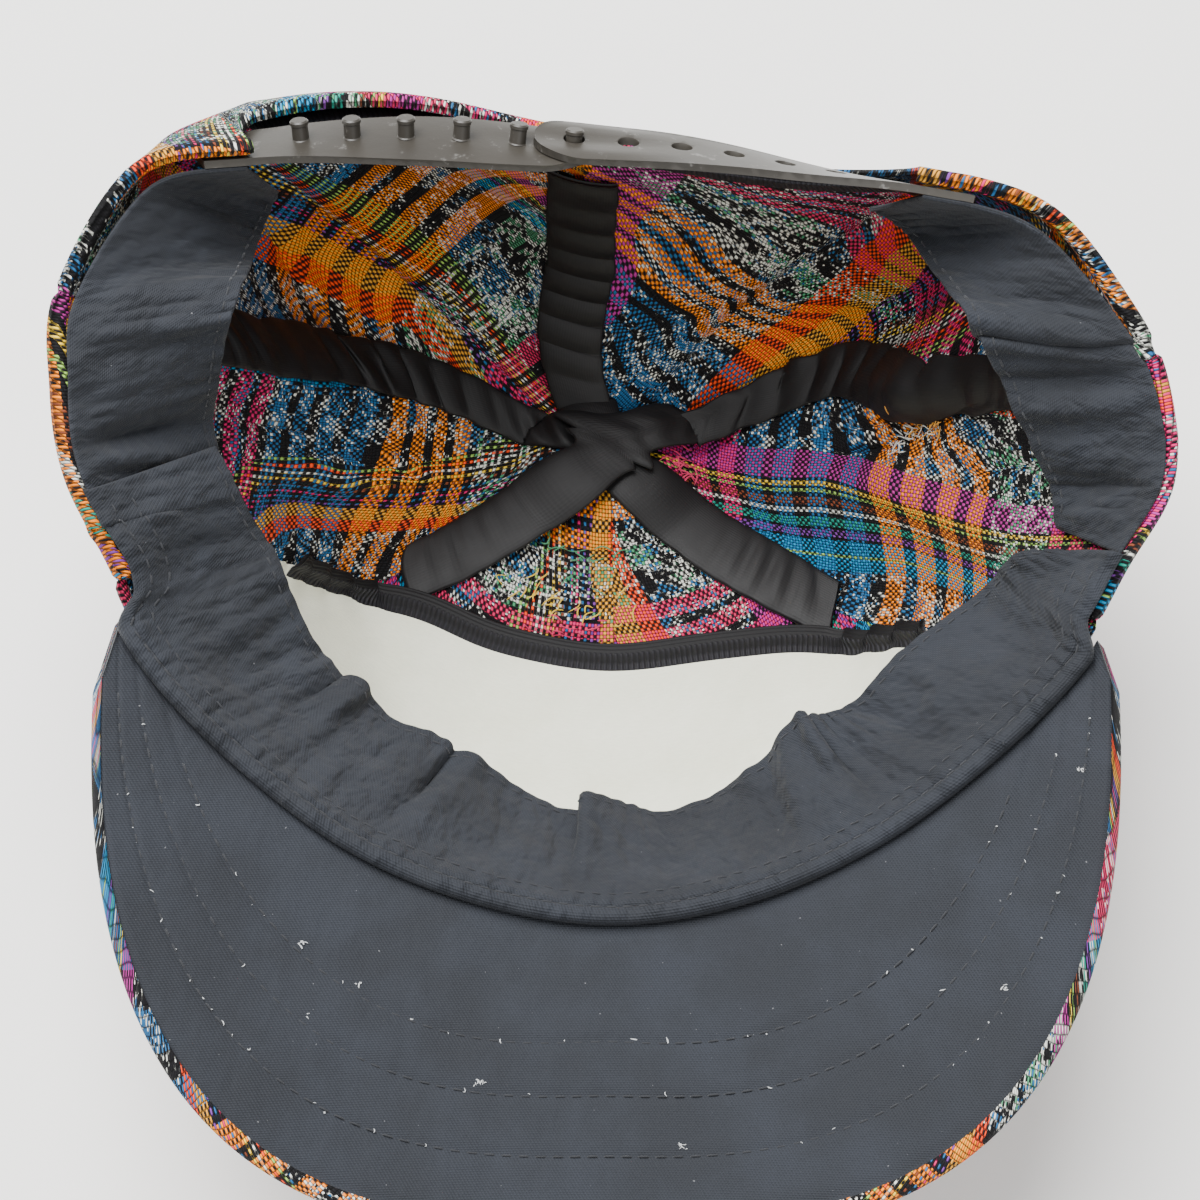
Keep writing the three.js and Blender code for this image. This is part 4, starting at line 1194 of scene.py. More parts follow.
def cloth_end(angle):
    """The share at which the cloth ends: 1 at the rim, and less in the arch over the strap."""
    off = np.abs((2 * angle - ARCH["start"] - ARCH["end"]) / (ARCH["end"] - ARCH["start"]))
    inside = np.clip(1 - np.minimum(off, 1) ** ARCH["square"], 0, 1) ** (1 / ARCH["square"])
    height = ARCH["height"] + ARCH_SAG * sagging(angle)
    return np.where(off >= 1, 1, share_from_rim(angle, height * inside))


def arch_stations(count, outer, corner, middle):
    """Rim angles of a rear gore, closer together where the arch is steep."""
    i = np.linspace(0, 1, count)
    plain = 0.35
    turn = np.clip((i - plain) / (1 - plain), 0, 1) * math.pi / 2
    short = np.abs(np.cos(turn)) ** (2 / ARCH["square"])
    return np.where(i <= plain, mix(outer, corner, i / plain), mix(middle, corner, short))


def hem_fullness(angle):
    """The turned hem is fuller along the left side."""
    return 1 + 0.55 * smooth(angle, 146, 164) * (1 - smooth(angle, 196, 202))


back = float(seam_angle("back", 1))
print(f"at the back the cloth ends at {float(cloth_end(back)):.2f} of the way from button to rim")

# %% Making the gores


def gore_places(seam_a, seam_b, rim_angles, rows):
    """Angles and shares of a gore's grid."""
    turn = 360 if seam_angle(seam_b, 1) < seam_angle(seam_a, 1) else 0
    start, end = seam_angle(seam_a, 1), seam_angle(seam_b, 1) + turn
    fine = 0.94 + 0.06 * np.linspace(0, 1, 14)[1:] ** 0.6
    j = np.concatenate([np.linspace(0, 0.94, rows), fine])
    i = (rim_angles - start)[:, None] / (end - start)
    share = mix(BUTTON_HOLE, cloth_end(rim_angles)[:, None], (j * (1 - 0.3 * (1 - j) ** 2))[None, :])
    a, b = seam_angle(seam_a, share), seam_angle(seam_b, share) + turn
    return mix(a, b, i), share, i


def make_gore(name, node, seam_a, seam_b, rim_angles, hem=HEM):
    angle, share, i = gore_places(seam_a, seam_b, rim_angles, GORE_ROWS)
    grid = crown_point(angle, share)
    width = arc_lengths(grid, 0)
    girth = np.maximum(width[-1:], 1)
    off_seam = np.minimum(width, girth - width)
    along = arc_lengths(grid, 1)
    off_rim = along[:, -1:] - along
    middle = np.argmin(np.abs(i[:, 0] - 0.5))
    u = width - width[middle]
    v = np.broadcast_to(along[middle], u.shape)
    turned_in = np.where(cloth_end(angle) == 1, 1, 1 - sagging(angle))
    hem = hem * hem_fullness(angle)
    in_hem = 1 - smooth(off_rim, HEM_HEIGHT - 0.8, HEM_HEIGHT + 0.8)
    thick = mix(CLOTH, hem, in_hem * turned_in)
    rim_round = np.sqrt(np.clip(1 - (1 - np.minimum(off_rim / (thick / 2), 1)) ** 2, 0, 1))
    dip = SEAM_DIP * (1 - smooth(off_seam, 0, 1.5))
    outer_inset = dip + thick / 2 * (1 - rim_round)
    inner_inset = thick - thick / 2 * (1 - rim_round)
    outer = crown_at(angle, share, outer_inset)
    inner = crown_at(angle, share, np.maximum(inner_inset, outer_inset + 0.1))
    turned = np.where(off_rim < HEM, v + 2 * off_rim, v)
    on_cloth = cloth_map(LAY[name])
    piece = shell("panel_" + name, outer, inner, on_cloth(u, v), on_cloth(u, turned))
    return dress(piece, IKAT, "ikat", node)


def even_angles(seam_a, seam_b, count):
    start, end = seam_angle(seam_a, 1), seam_angle(seam_b, 1)
    return np.linspace(start, end + (360 if end < start else 0), count)


angles = arch_stations(GORE_COLUMNS, seam_angle("rear_right", 1), ARCH["start"], back)
make_gore("back_right", "back_panel_right", "rear_right", "back", angles)
angles = arch_stations(GORE_COLUMNS, seam_angle("rear_left", 1), ARCH["end"], back)[::-1]
make_gore("back_left", "back_panel_left", "back", "rear_left", angles)
for side, seam_a, seam_b, hem in (
    ("side_right", "front_right", "rear_right", HEM),
    ("side_left", "rear_left", "front_left", HEM),
    ("front_left", "front_left", "front", CLOTH),
    ("front_right", "front", "front_right", CLOTH),
):
    node = side.replace("_", "_panel_")
    make_gore(side, node, seam_a, seam_b, even_angles(seam_a, seam_b, GORE_COLUMNS), hem)

# %% [markdown]
# ## Covered button
#
# Under the cap, where the six points meet, sits a button covered with the same cloth. It is turned from a
# profile, as a disc pressed in a die is. A flattened sphere would miss its sharper lower edge.

# %% Button


def make_button():
    under = [(0.001, 0), (0.45, 0.02), (0.72, 0.08), (0.92, 0.28)]
    profile = np.array(under + [(1, 0.55), (0.96, 0.8), (0.88, 0.98), (0.001, 1)])
    turns = np.radians(np.linspace(0, 360, 41))[:-1]
    radius = profile[:, 0] * BUTTON_RADIUS
    x = BUTTON_AT[0] + np.outer(np.cos(turns), radius)
    y = BUTTON_AT[1] + np.outer(np.sin(turns), radius)
    z = np.broadcast_to(profile[:, 1] * BUTTON_HEIGHT, x.shape)
    at = np.arange(x.size).reshape(x.shape)
    points = np.stack([x, y, z], -1)
    return new_object("covered_button", points, cells(np.concatenate([at, at[:1]])), points[..., :2])


dress(make_button(), IKAT, "ikat", "top_button")

# %% [markdown]
# ## Seam tapes
#
# Black satin tape covers each seam inside. A curve with a bevel could stand for it, but would not lie on
# the cloth. So it is sewn on as a ribbon: a path on the flat crown, a width across it, and a low arch over
# the seam allowances beneath. Where the tapes cross over the button they lie on each other. A ribbon is a
# little longer than its seam, so it creases crosswise.

# %% Ribbons on the crown
TAPE_WIDTH = 15
TAPE_THICK = 0.8
ON_CLOTH = CLOTH + 0.35


def ribbon(name, path, width, inset, thickness, steps=160, rows=15, waver=0.0, seed=0, wide=np.ones_like):
    """A band sewn on the crown along a path of flat places. inset gets places along and across, and wide
    gives the share of the width that shows."""
    i = np.linspace(0, 1, steps)
    j = stations(rows, width, thickness / 2)
    here = path(i)
    run = unit(np.gradient(here, axis=0))
    beside = np.stack([-run[:, 1], run[:, 0]], -1)
    probe = 0.005
    left, right = (crown_point(*polar(here + sign * probe * beside)) for sign in (1, -1))
    stretch = np.linalg.norm(left - right, axis=-1) / (2 * probe)
    edge = np.stack([np.sin(i * k * 2.3 + seed + k) for k in (7, 13, 29)]).mean(0) * waver
    off = (j[None, :] - 0.5) * width * wide(i)[:, None] + edge[:, None]
    flat = here[:, None] + beside[:, None] * (off / stretch[:, None])[..., None]
    angle, share = polar(flat)
    length = arc_lengths(crown_point(*polar(here)), 0)
    weave = np.stack(np.broadcast_arrays(length[:, None], off + width / 2), -1)
    full = rounding(j, width, thickness / 2)[None, :]
    middle = inset(length[:, None], j[None, :]) + thickness / 2
    outer = crown_at(angle, share, middle - thickness / 2 * full)
    inner = crown_at(angle, share, middle + thickness / 2 * full)
    return shell(name, outer, inner, weave)


print("the edges of a tape lie", ON_CLOTH, "mm under the outside of the crown")

# %% The four tapes


def seam_path(seam, start, end):
    def path(i):
        share = mix(start, end, i)
        return flat_place(seam_angle(seam, share), share)

    return path


def cross_path(i):
    share = mix(-0.37, 0.83, i)
    seam = np.where(share < 0, seam_angle("front_left", -share), seam_angle("rear_right", share))
    return flat_place(seam, np.abs(share))


def sewn(lift=None, crease=0.3, pitch=5.0, seed=0.0):
    """The height of a tape: an arch over the seam, crosswise creases, and a lift where it lies on others."""

    def inset(along, across):
        bow = 1 - (2 * across - 1) ** 2
        waves = np.sin(2 * math.pi * along / pitch + seed + 2 * np.sin(along / 9 + seed) + 0.8 * across)
        waves = waves * np.sin(along / 17 + seed) ** 2
        raised = lift(along) if lift else 0
        return ON_CLOTH + 0.9 * bow**0.7 + crease * waves * bow + raised

    return inset


def lifted(by, near, far, start):
    """Lift of a tape that starts at a distance before the button."""
    return lambda along: by * (1 - smooth(np.abs(along - start), near, far))


ribbons = [
    ("rear_left", seam_path("rear_left", 0.01, 0.86), sewn(None, 0.6, 6.0, 1.0), 0.35),
    ("front_right", seam_path("front_right", 0.01, 0.43), sewn(None, 0.3, 7.0, 2.0), 0.2),
    ("back", seam_path("back", 0.02, 0.62), sewn(lifted(1.3, 24, 40, 0), 0.12, 8.0, 3.0), 0.2),
    ("cross", cross_path, sewn(lifted(3.0, 24, 44, 57), 0.2, 6.0, 4.0), 0.25),
]
for n, (name, path, inset, waver) in enumerate(ribbons):
    tape = ribbon("tape_" + name, path, TAPE_WIDTH, inset, TAPE_THICK, waver=waver, seed=n)
    dress(tape, TAPE, "tape", "seam_tape_" + name)

# %% [markdown]
# ## Backing of the front
#
# A sheet of ivory felt stiffens the two front gores. Only its arched top shows above the sweatband, edged
# with a binding whose upper half is overlocked. The sheet could be a thickened copy of the gores, but as a
# grid from its arch down to near the rim it gets a clean edge of its own.

# %% Felt
BACKING_ARCH = dict(start=199, end=328, top=0.35, rise=0.31, square=4.5, from_rim=9)
FELT_THICK = 1.4
FELT_DROP = 60  # its height near its two ends, for the rounding of its edges


def backing_top(angle):
    a = BACKING_ARCH
    off = np.abs((2 * angle - a["start"] - a["end"]) / (a["end"] - a["start"]))
    return a["top"] + a["rise"] * off ** a["square"]


def make_backing():
    i = 0.5 - 0.5 * np.cos(math.pi * np.linspace(0, 1, 110))
    angle = mix(BACKING_ARCH["start"], BACKING_ARCH["end"], i)[:, None]
    j = stations(70, FELT_DROP, FELT_THICK / 2)[None, :]
    share = mix(backing_top(angle), share_from_rim(angle, BACKING_ARCH["from_rim"]), j)
    full = rounding(j, FELT_DROP, FELT_THICK / 2)
    middle = ON_CLOTH + 0.5 + FELT_THICK / 2
    angle, share, full = np.broadcast_arrays(angle, share, full)
    faces = [crown_at(angle, share, middle + sign * FELT_THICK / 2 * full) for sign in (-1, 1)]
    weave = np.stack([arc_lengths(faces[0], 0), arc_lengths(faces[0], 1)], -1)
    return shell("felt_backing", *faces, weave)


dress(make_backing(), FELT, "felt", "front_backing")

# %% Binding of the felt
BINDING_WIDTH = 6.4
BINDING_THICK = 1.1


def binding_path(i):
    """Along the top of the felt, with its two corners eased as a ribbon takes them."""
    angle = np.linspace(BACKING_ARCH["end"] - 0.5, BACKING_ARCH["start"] + 0.5, 900)
    place = flat_place(angle, backing_top(angle))
    arc = arc_lengths(place[:, None], 0)[:, 0]
    even = np.linspace(0, arc[-1], 400)
    place = np.stack([np.interp(even, arc, place[:, k]) for k in range(2)], -1)
    reach = 25  # samples each way over which the path is averaged
    window = np.full(2 * reach + 1, 1 / (2 * reach + 1))
    padded = np.pad(place, ((reach, reach), (0, 0)), "edge")
    place = np.stack([np.convolve(padded[:, k], window, "valid") for k in range(2)], -1)
    return np.stack([np.interp(i * even[-1], even, place[:, k]) for k in range(2)], -1)


def over_felt(along, across):
    """The binding lies high on the felt on one side and comes down to the cloth on the other."""
    return ON_CLOTH + 0.9 + (FELT_THICK + 0.1) * smooth(1 - across, 0.25, 0.55) + 0 * along


size = BINDING_WIDTH, over_felt, BINDING_THICK, 260, 13
dress(ribbon("binding_of_backing", binding_path, *size), BINDING, "tape", "backing_binding")

# %% [markdown]
# ## Binding of the rear arch
#
# The arch's raw edge is bound with the same tape, made by the same ribbon. Its path is a squared arch a
# little larger than the cut edge, laid out on the flat crown. In the left half the binding is folded under,
# and in the right half its edge hangs out.

# %% Arch binding
ARCH_BINDING = dict(width=6, wide=10, outside=0.6, end=29, tucked=5, curl=4)


def square_arch(degrees, square):
    a = np.radians(degrees)
    x, y = np.cos(a), np.sin(a)
    return np.sign(x) * np.abs(x) ** (2 / square), np.abs(y) ** (2 / square)


def arch_path(i):
    """The middle of the binding. Its left half is tucked further in under the cloth."""
    per_degree = np.linalg.norm(crown_point(90, 1) - crown_point(91, 1))
    x, y = square_arch(mix(ARCH_BINDING["end"], 180 - ARCH_BINDING["end"], i), ARCH["square"])
    angle = (ARCH["start"] + ARCH["end"]) / 2 + x * (ARCH["end"] - ARCH["start"]) / 2
    side = sagging(angle)
    grow = ARCH_BINDING["width"] / 2 + ARCH_BINDING["outside"] + mix(ARCH_BINDING["tucked"], 2, side)
    angle = angle + x * grow / per_degree
    return flat_place(angle, share_from_rim(angle, y * (ARCH["height"] + ARCH_SAG * side + grow)))


def arch_width(i):
    """The whole tape shows in the right half, and half of it, folded, in the left."""
    return mix(1, 0.5, smooth(i, 0.42, 0.55))


def curled(along, across):
    """The binding's lower edge stands off the cloth in the right half."""
    right = 1 - smooth(along, 55, 75)
    return ON_CLOTH + 0.2 + ARCH_BINDING["curl"] * right * smooth(along, 0, 12) * across**1.5


size = ARCH_BINDING["wide"], curled, BINDING_THICK, 200, 17
dress(ribbon("binding_of_arch", arch_path, *size, wide=arch_width), BINDING, "tape", "arch_binding")

# %% [markdown]
# ## Sweatband
#
# Three lengths of doubled twill line the rim. The two side pieces stand on the turned hem. The front piece
# is sewn over the rim with a roll that covers the brim's seam, and its loose edge falls in pleats. It could
# be sculpted, but tables of its edge and pleats are easier to correct.

# %% Sizes of the sweatband
BAND_WIDTH = 32
BAND = 1.1
BASE_DROP = 1.0
HOLLOW = 1.5
LEAST_HANG = 6
SIDE_LENGTH = 90
FRONT_LENGTH = 260
BAND_CLEAR = BAND / 2 + 0.15
STRAP = 1.5
print("the band is", BAND_WIDTH, "mm wide and", BAND, "mm thick, folded double")

# %% The free edge of the band, seen from above
FRONT_EDGE = columns(
    "angle across back sag",
    (183, -78, 17, -4),
    (195, -70, 2, -3),
    (203, -65.5, -5.5, 0),
    (210, -63, -13, 0),
    (219, -56.5, -24.5, 0),
    (225, -50.5, -28.5, 0),
    (234, -43.5, -37, 0),
    (240, -34, -40.5, 0),
    (247, -28.5, -43.5, 0),
    (255, -17, -51.5, 0),
    (263, -7.5, -55, 0),
    (266, -4.5, -52.3, 0),
    (272, 3, -54, 0),
    (280, 11.5, -55.5, 0),
    (285, 20, -52.7, 0),
    (292, 29.5, -44.5, 0),
    (299, 37.5, -36, 0),
    (305, 41.5, -36, 0),
    (315, 49, -32.5, 0),
    (322, 57, -24, 0),
    (330, 73.5, -11, -3),
    (338, 79.5, -4, -11),
    (346, 86.5, -3.5, -18),
)
LEFT_EDGE = columns(
    "angle across back sag",
    (121, -67, 69, 0),
    (128, -68, 65, 0),
    (135, -70, 59.5, 0),
    (143, -70.5, 53, 0),
    (150, -71, 47.5, 0),
    (165, -75, 35.5, 0),
    (175, -78, 24, 2),
    (183, -78, 13, 3),
    (192, -75, 4, 4),
)
RIGHT_EDGE = columns(
    "angle across back sag",
    (346, 88, 1, -12),
    (355, 86.5, 7, -10),
    (360, 84.5, 12, -8),
    (375, 76, 28, -3),
    (390, 66, 45.5, 0),
    (398, 62, 52, 0),
    (405, 59, 58, 0),
    (412, 55, 62.5, 0),
    (420, 51.5, 65, 0),
)
print("places on the free edge:", sum(len(t["angle"]) for t in (FRONT_EDGE, LEFT_EDGE, RIGHT_EDGE)))

# %% Pleats
# Folds that run from the free edge to the rim: the angle at each end, how wide, in degrees, how far in they
# stand, in millimetres (less than 0 for a valley), and where they are fullest, as a share of the way to the
# free edge.
FRONT_PLEATS = columns(
    "edge base width push peak",
    (186, 193, 4, 2.0, 0.6),
    (196, 199, 3, -1.0, 0.5),
    (209, 211, 3.5, 1.2, 0.5),
    (216, 217, 2, -0.8, 0.4),
    (222.5, 225.5, 1.5, -2.2, 0.9),
    (226.5, 228.5, 1.6, 1.5, 0.7),
    (233, 232, 2, 0.9, 0.3),
    (238, 238, 1.8, 0.9, 0.7),
    (244.6, 241, 1.4, -2.6, 0.75),
    (248.5, 244.5, 1.6, 1.5, 0.6),
    (255, 253, 2.2, -0.9, 0.3),
    (259, 258.5, 1.8, 0.9, 0.5),
    (263.9, 263.8, 0.8, -1.5, 0.8),
    (265.8, 265.4, 1.0, 1.6, 0.8),
    (271, 270, 2.2, 0.6, 0.3),
    (277, 276, 2, -0.6, 0.4),
    (284, 282, 2.4, 0.9, 0.4),
    (292.5, 290, 1.6, -2.0, 0.7),
    (295.6, 293, 1.5, 1.3, 0.5),
    (299, 300.6, 1.1, 1.8, 0.8),
    (300.8, 302.6, 0.9, -2.4, 0.8),
    (308, 308, 2.5, 0.8, 0.3),
    (314, 313, 2, -0.8, 0.5),
    (322, 318, 2.4, 1.0, 0.5),
    (329, 326, 2, -0.8, 0.6),
)
LEFT_PLEATS = columns(
    "edge base width push peak",
    (127, 130, 3, -0.9, 0.5),
    (136, 139, 2.4, 1.4, 0.5),
    (143, 147, 2, -1.2, 0.6),
    (152, 150, 3, 1.0, 0.5),
    (163, 159, 2.6, -0.9, 0.5),
    (171, 171, 2, 0.8, 0.5),
    (176, 175, 1.6, -1.8, 0.5),
    (180, 178.5, 1.6, 1.6, 0.5),
    (186, 184, 2, -1.4, 0.5),
)
RIGHT_PLEATS = columns(
    "edge base width push peak",
    (350, 353, 2, 1.0, 0.5),
    (357, 359, 2, -1.6, 0.5),
    (364, 364, 2.6, 1.2, 0.5),
    (371, 374, 2, 1.9, 0.6),
    (376, 378, 1.8, -2.0, 0.6),
    (385, 386, 2.4, 2.0, 0.5),
    (391, 392, 2, -1.6, 0.5),
    (399, 397, 2.4, 1.0, 0.5),
    (408, 406, 3, -0.8, 0.5),
)
print("pleats:", sum(len(t["edge"]) for t in (FRONT_PLEATS, LEFT_PLEATS, RIGHT_PLEATS)))

# %% [markdown]
# ## Hanging cloth
#
# The band keeps its width. So where its free edge is far in, it hangs less deep, and the height follows by
# the rule of Pythagoras. Between rim and free edge it bellies out a little. A cloth simulation could find
# folds of its own, but each pleat has a known place here, and a table keeps it there.

# %% Surfaces of the sweatband


def through(table, column, at):
    """A smooth curve through a column of an open table."""
    keys, values = table["angle"], table[column]
    slopes = np.gradient(values, keys)
    k = np.clip(np.searchsorted(keys, at) - 1, 0, len(keys) - 2)
    step = keys[k + 1] - keys[k]
    t = np.clip((at - keys[k]) / step, 0, 1)
    a = (1 + 2 * t) * (1 - t) ** 2 * values[k] + t**2 * (3 - 2 * t) * values[k + 1]
    return a + step * (t * (1 - t) ** 2 * slopes[k] + t**2 * (t - 1) * slopes[k + 1])


def free_edge(table, angle, base):
    across, back_ = through(table, "across", angle), through(table, "back", angle)
    inward = np.hypot(across - base[..., 0], back_ - base[..., 1])
    hang = np.sqrt(np.maximum(BAND_WIDTH**2 - inward**2, LEAST_HANG**2)) + through(table, "sag", angle)
    return np.stack([across, back_, base[..., 2] - hang], -1)


def hanging(base, edge, t):
    point = mix(base, edge, t[..., None])
    point[..., 2] -= HOLLOW * np.sin(math.pi * t)
    return point


def facing_in(grid):
    """Normals of a sweatband's grid that point at the head."""
    normals = normals_of(grid)
    inward = np.array([0, BUTTON_BACK, RIM_HEIGHT - 20]) - grid
    return normals * np.sign((normals * inward).sum(-1)[:, grid.shape[1] // 2 :].mean())


def pleated(middle, angle, t, pleats):
    """Pushes the folds of a table out of a grid. t is 0 at the rim and 1 at the free edge."""
    push = np.zeros(t.shape)
    for edge, base, width, height, peak in zip(*pleats.values()):
        beside = (angle - mix(base, edge, t)) / width
        push += height * np.exp(-(beside**2)) * smooth(t, 0, 0.25) * np.exp(-(((t - peak) / 0.5) ** 2))
    rough = 0.22 * np.sin(angle * 1.9 + 2 * np.sin(angle * 0.37)) * np.sin(t * 5 + angle * 0.3)
    return middle + facing_in(middle) * (push + rough * smooth(t, 0, 0.2))[..., None]


def even_band_weave(middle):
    along = arc_lengths(middle, 0).mean(1, keepdims=True)
    return np.stack(np.broadcast_arrays(along, arc_lengths(middle, 1)), -1)


print(f"at the front the free edge lies {-through(FRONT_EDGE, 'back', 270.0):.1f} mm forward of the middle")

# %% The two side pieces


def side_band(name, table, inset_from, inset_to, pleats):
    i = stations(150, SIDE_LENGTH, BAND / 2)[:, None]
    j = stations(34, BAND_WIDTH, BAND / 2)[None, :]
    i, j = np.broadcast_arrays(i, j)
    angle = mix(table["angle"][0], table["angle"][-1], i)
    inset = HEM * hem_fullness(angle) + BAND_CLEAR
    inset = inset + mix(inset_from, inset_to, smooth(i, 0.2, 0.8))
    base = in_frame(crown_at(angle, share_from_rim(angle, BASE_DROP), inset))
    middle = hanging(base, free_edge(table, angle, base), j)
    middle = pleated(standing(middle), angle, j, pleats)
    full = rounding(j, BAND_WIDTH, BAND / 2) * rounding(i, SIDE_LENGTH, BAND / 2)
    return even_shell(name, middle, BAND, even_band_weave(middle), full), middle


BY_STRAP = STRAP + 0.3
band, left_middle = side_band("sweatband_left_twill", LEFT_EDGE, BY_STRAP, 0, LEFT_PLEATS)
dress(band, TWILL, "twill", "sweatband_left")
band, right_middle = side_band("sweatband_right_twill", RIGHT_EDGE, 0, BY_STRAP, RIGHT_PLEATS)
dress(band, TWILL, "twill", "sweatband_right")

# %% [markdown]
# ## Brim
#
# The brim is a stiff sheet that slopes up from its seam and curls from side to side. Its underside is
# twill. The top cloth wraps round its edge, so a narrow stripe of ikat frames the twill. A bent plane would
# need its outline cut. Grids between the seam and a squared arch have it from the start, and the rows of
# stitches run true.

# %% Brim sizes and surface
BRIM = dict(left=203, right=334, middle=-1, half_width=97)
BRIM |= dict(start=-13, reach=117, square=2.8, corner=4)
BRIM_SLOPE = math.tan(math.radians(27))
BRIM_ARCH = 0.003
BRIM_FRONT = dict(back=-73, up=-6.4)
BRIM_CLEAR = 1.1
BRIM_THICK = 4.1
BRIM_WRAP = 2.4
BRIM_UNDER = 1.4
BRIM_LAY = dict(stretch=1.12, slant=0.067, column=123.2, row=121)  # how the cloth lies on it
STITCH_ROWS = (13.5, 24, 33.5)  # in from the edge


def brim_point(across, back_, down):
    """A point of the brim in the rim's frame, at a depth under its underside."""
    up = BRIM_FRONT["up"] + BRIM_SLOPE * (BRIM_FRONT["back"] - back_) + BRIM_ARCH * across**2
    flat = np.ones_like(across)
    normal = unit(np.stack([-2 * BRIM_ARCH * across, BRIM_SLOPE * flat, flat], -1))
    return np.stack([across, back_, up], -1) - normal * np.asarray(down)[..., None]


def away_from_rim(angle):
    along = crown_in_frame(angle + 1, 1) - crown_in_frame(angle - 1, 1)
    return unit(np.stack([along[..., 1], -along[..., 0], 0 * along[..., 0]], -1))


def brim_outline(i):
    x, y = square_arch(mix(BRIM["corner"], 180 - BRIM["corner"], i), BRIM["square"])
    return np.stack([BRIM["middle"] + BRIM["half_width"] * x, BRIM["start"] - BRIM["reach"] * y], -1)


def brim_seam(i):
    angle = mix(BRIM["right"], BRIM["left"], i)
    return (crown_in_frame(angle, 1) + away_from_rim(angle) * BRIM_CLEAR)[..., :2]


def on_brim(i, from_edge, down):
    """A point of the brim at a distance in from its edge."""
    outer, seam = brim_outline(i), brim_seam(i)
    length = np.linalg.norm(outer - seam, axis=-1)
    t = np.maximum(1 - from_edge / length, 0.0)
    place = mix(seam, outer, t[..., None])
    return standing(brim_point(place[..., 0], place[..., 1], down))


def brim_lengths(i):
    return np.linalg.norm(brim_outline(i) - brim_seam(i), axis=-1)


print(f"the brim is {brim_lengths(0.5):.0f} mm long in its middle, from seam to edge")

# %% Underside of the brim


def make_underside():
    i = np.linspace(0, 1, 200)[:, None]
    j = np.linspace(0, 1, 70)[None, :]
    from_edge = mix(brim_lengths(i), BRIM_WRAP + 0.1, j)
    i, from_edge = np.broadcast_arrays(i, from_edge)
    ripple = 0.12 * np.sin(from_edge / 6 + 9 * i) + 0.1 * np.sin(40 * i + from_edge / 11)
    sunk = 0.5 * (1 - smooth(from_edge, BRIM_WRAP, BRIM_WRAP + 2.5))
    rows = sum(0.28 * np.exp(-(((from_edge - off) / 0.9) ** 2)) for off in STITCH_ROWS)
    depth = ripple + sunk + rows
    outer = on_brim(i, from_edge, depth)
    inner = on_brim(i, from_edge, depth * 0 + BRIM_UNDER + 0.3)
    return shell("brim_twill", outer, inner, in_frame(outer)[..., :2])


dress(make_underside(), BRIM_TWILL, "twill", "brim_underside")

# %% Top cloth of the brim
FLAT_ROWS, ROUND_ROWS = 40, 15
TUCK = 0.4  # how far the edge of the top cloth is tucked behind the twill


def make_brim_top():
    """The top cloth: its outer face, round the edge, and back in behind the twill."""
    i = np.linspace(0, 1, 260)
    ones = np.ones((len(i), 1))
    lengths = brim_lengths(i)[:, None]
    radius = BRIM_THICK / 2
    inward = 1 - np.linspace(0, 1, FLAT_ROWS) ** 1.3
    turn = np.radians(np.linspace(-90, 90, ROUND_ROWS))[1:]
    off = [np.maximum(mix(radius, lengths, inward[None, :]), radius)]
    down = [ones * np.full(FLAT_ROWS, BRIM_THICK)]
    off.append(ones * radius * (1 - np.cos(turn)))
    down.append(ones * radius * (1 - np.sin(turn)))
    off.append(ones * (BRIM_WRAP, BRIM_WRAP + 0.05, BRIM_WRAP + TUCK))
    down.append(ones * (0.02, 0.5, BRIM_UNDER + TUCK))
    off.append(mix(BRIM_WRAP + TUCK, lengths, np.linspace(0, 1, 12)[1:][None, :]))
    down.append(np.full(off[-1].shape, BRIM_UNDER + TUCK))
    off, down = np.concatenate(off, 1), np.concatenate(down, 1)
    points = on_brim(np.broadcast_to(i[:, None], off.shape), off, down)
    count = points.shape[1]
    at = np.arange(points.size // 3).reshape(points.shape[:2])
    looped = np.concatenate([at, at[:, :1]], 1)
    faces = cells(looped)
    half = (count - 1) // 2
    ends = []
    for row, flip in ((at[0], 1), (at[-1], -1)):
        for k in range(half):
            quad = np.array([row[k], row[k + 1], row[count - 2 - k], row[count - 1 - k]])
            if len(set(quad)) == 4:
                ends.append(quad[::flip])
    faces = np.concatenate([faces, np.array(ends)])
    faces = facing_out(points.reshape(-1, 3), faces)
    arc = arc_lengths(points, 1)
    from_edge = arc - arc[:, FLAT_ROWS + ROUND_ROWS // 2, None]
    outer = brim_outline(i)
    flat = outer[:, None] + unit(outer - brim_seam(i))[:, None] * from_edge[..., None]
    row = BRIM_LAY["stretch"] * flat[..., 1] + BRIM_LAY["slant"] * flat[..., 0] + BRIM_LAY["row"]
    weave = np.stack([flat[..., 0] + BRIM_LAY["column"], row], -1)
    return new_object("brim_ikat", points, faces, weave)


dress(make_brim_top(), IKAT, "ikat", "brim_top")

# %% [markdown]
# ## Front sweatband
#
# The front piece starts on the brim with a lip, rolls over the seam, which makes a plump welt, and drops
# inside. Beyond the brim's two corners it starts at the rim instead, on the head's side of the side pieces.
# Both starts are worked out for every place, and one blends into the other.

# %% Rolling over the rim
LIP = 2.6
WELT = 3.2  # width of the roll along the brim
ROLL_RISE = 2.1
FRONT_CLEAR = BAND_CLEAR + BAND + 0.5


def over_rim(angle):
    """1 where the band is sewn over the rim, and 0 beyond the brim's two corners."""
    start = smooth(angle, BRIM["left"] - 3, BRIM["left"] + 2)
    return start * (1 - smooth(angle, BRIM["right"] - 3, BRIM["right"] + 2))


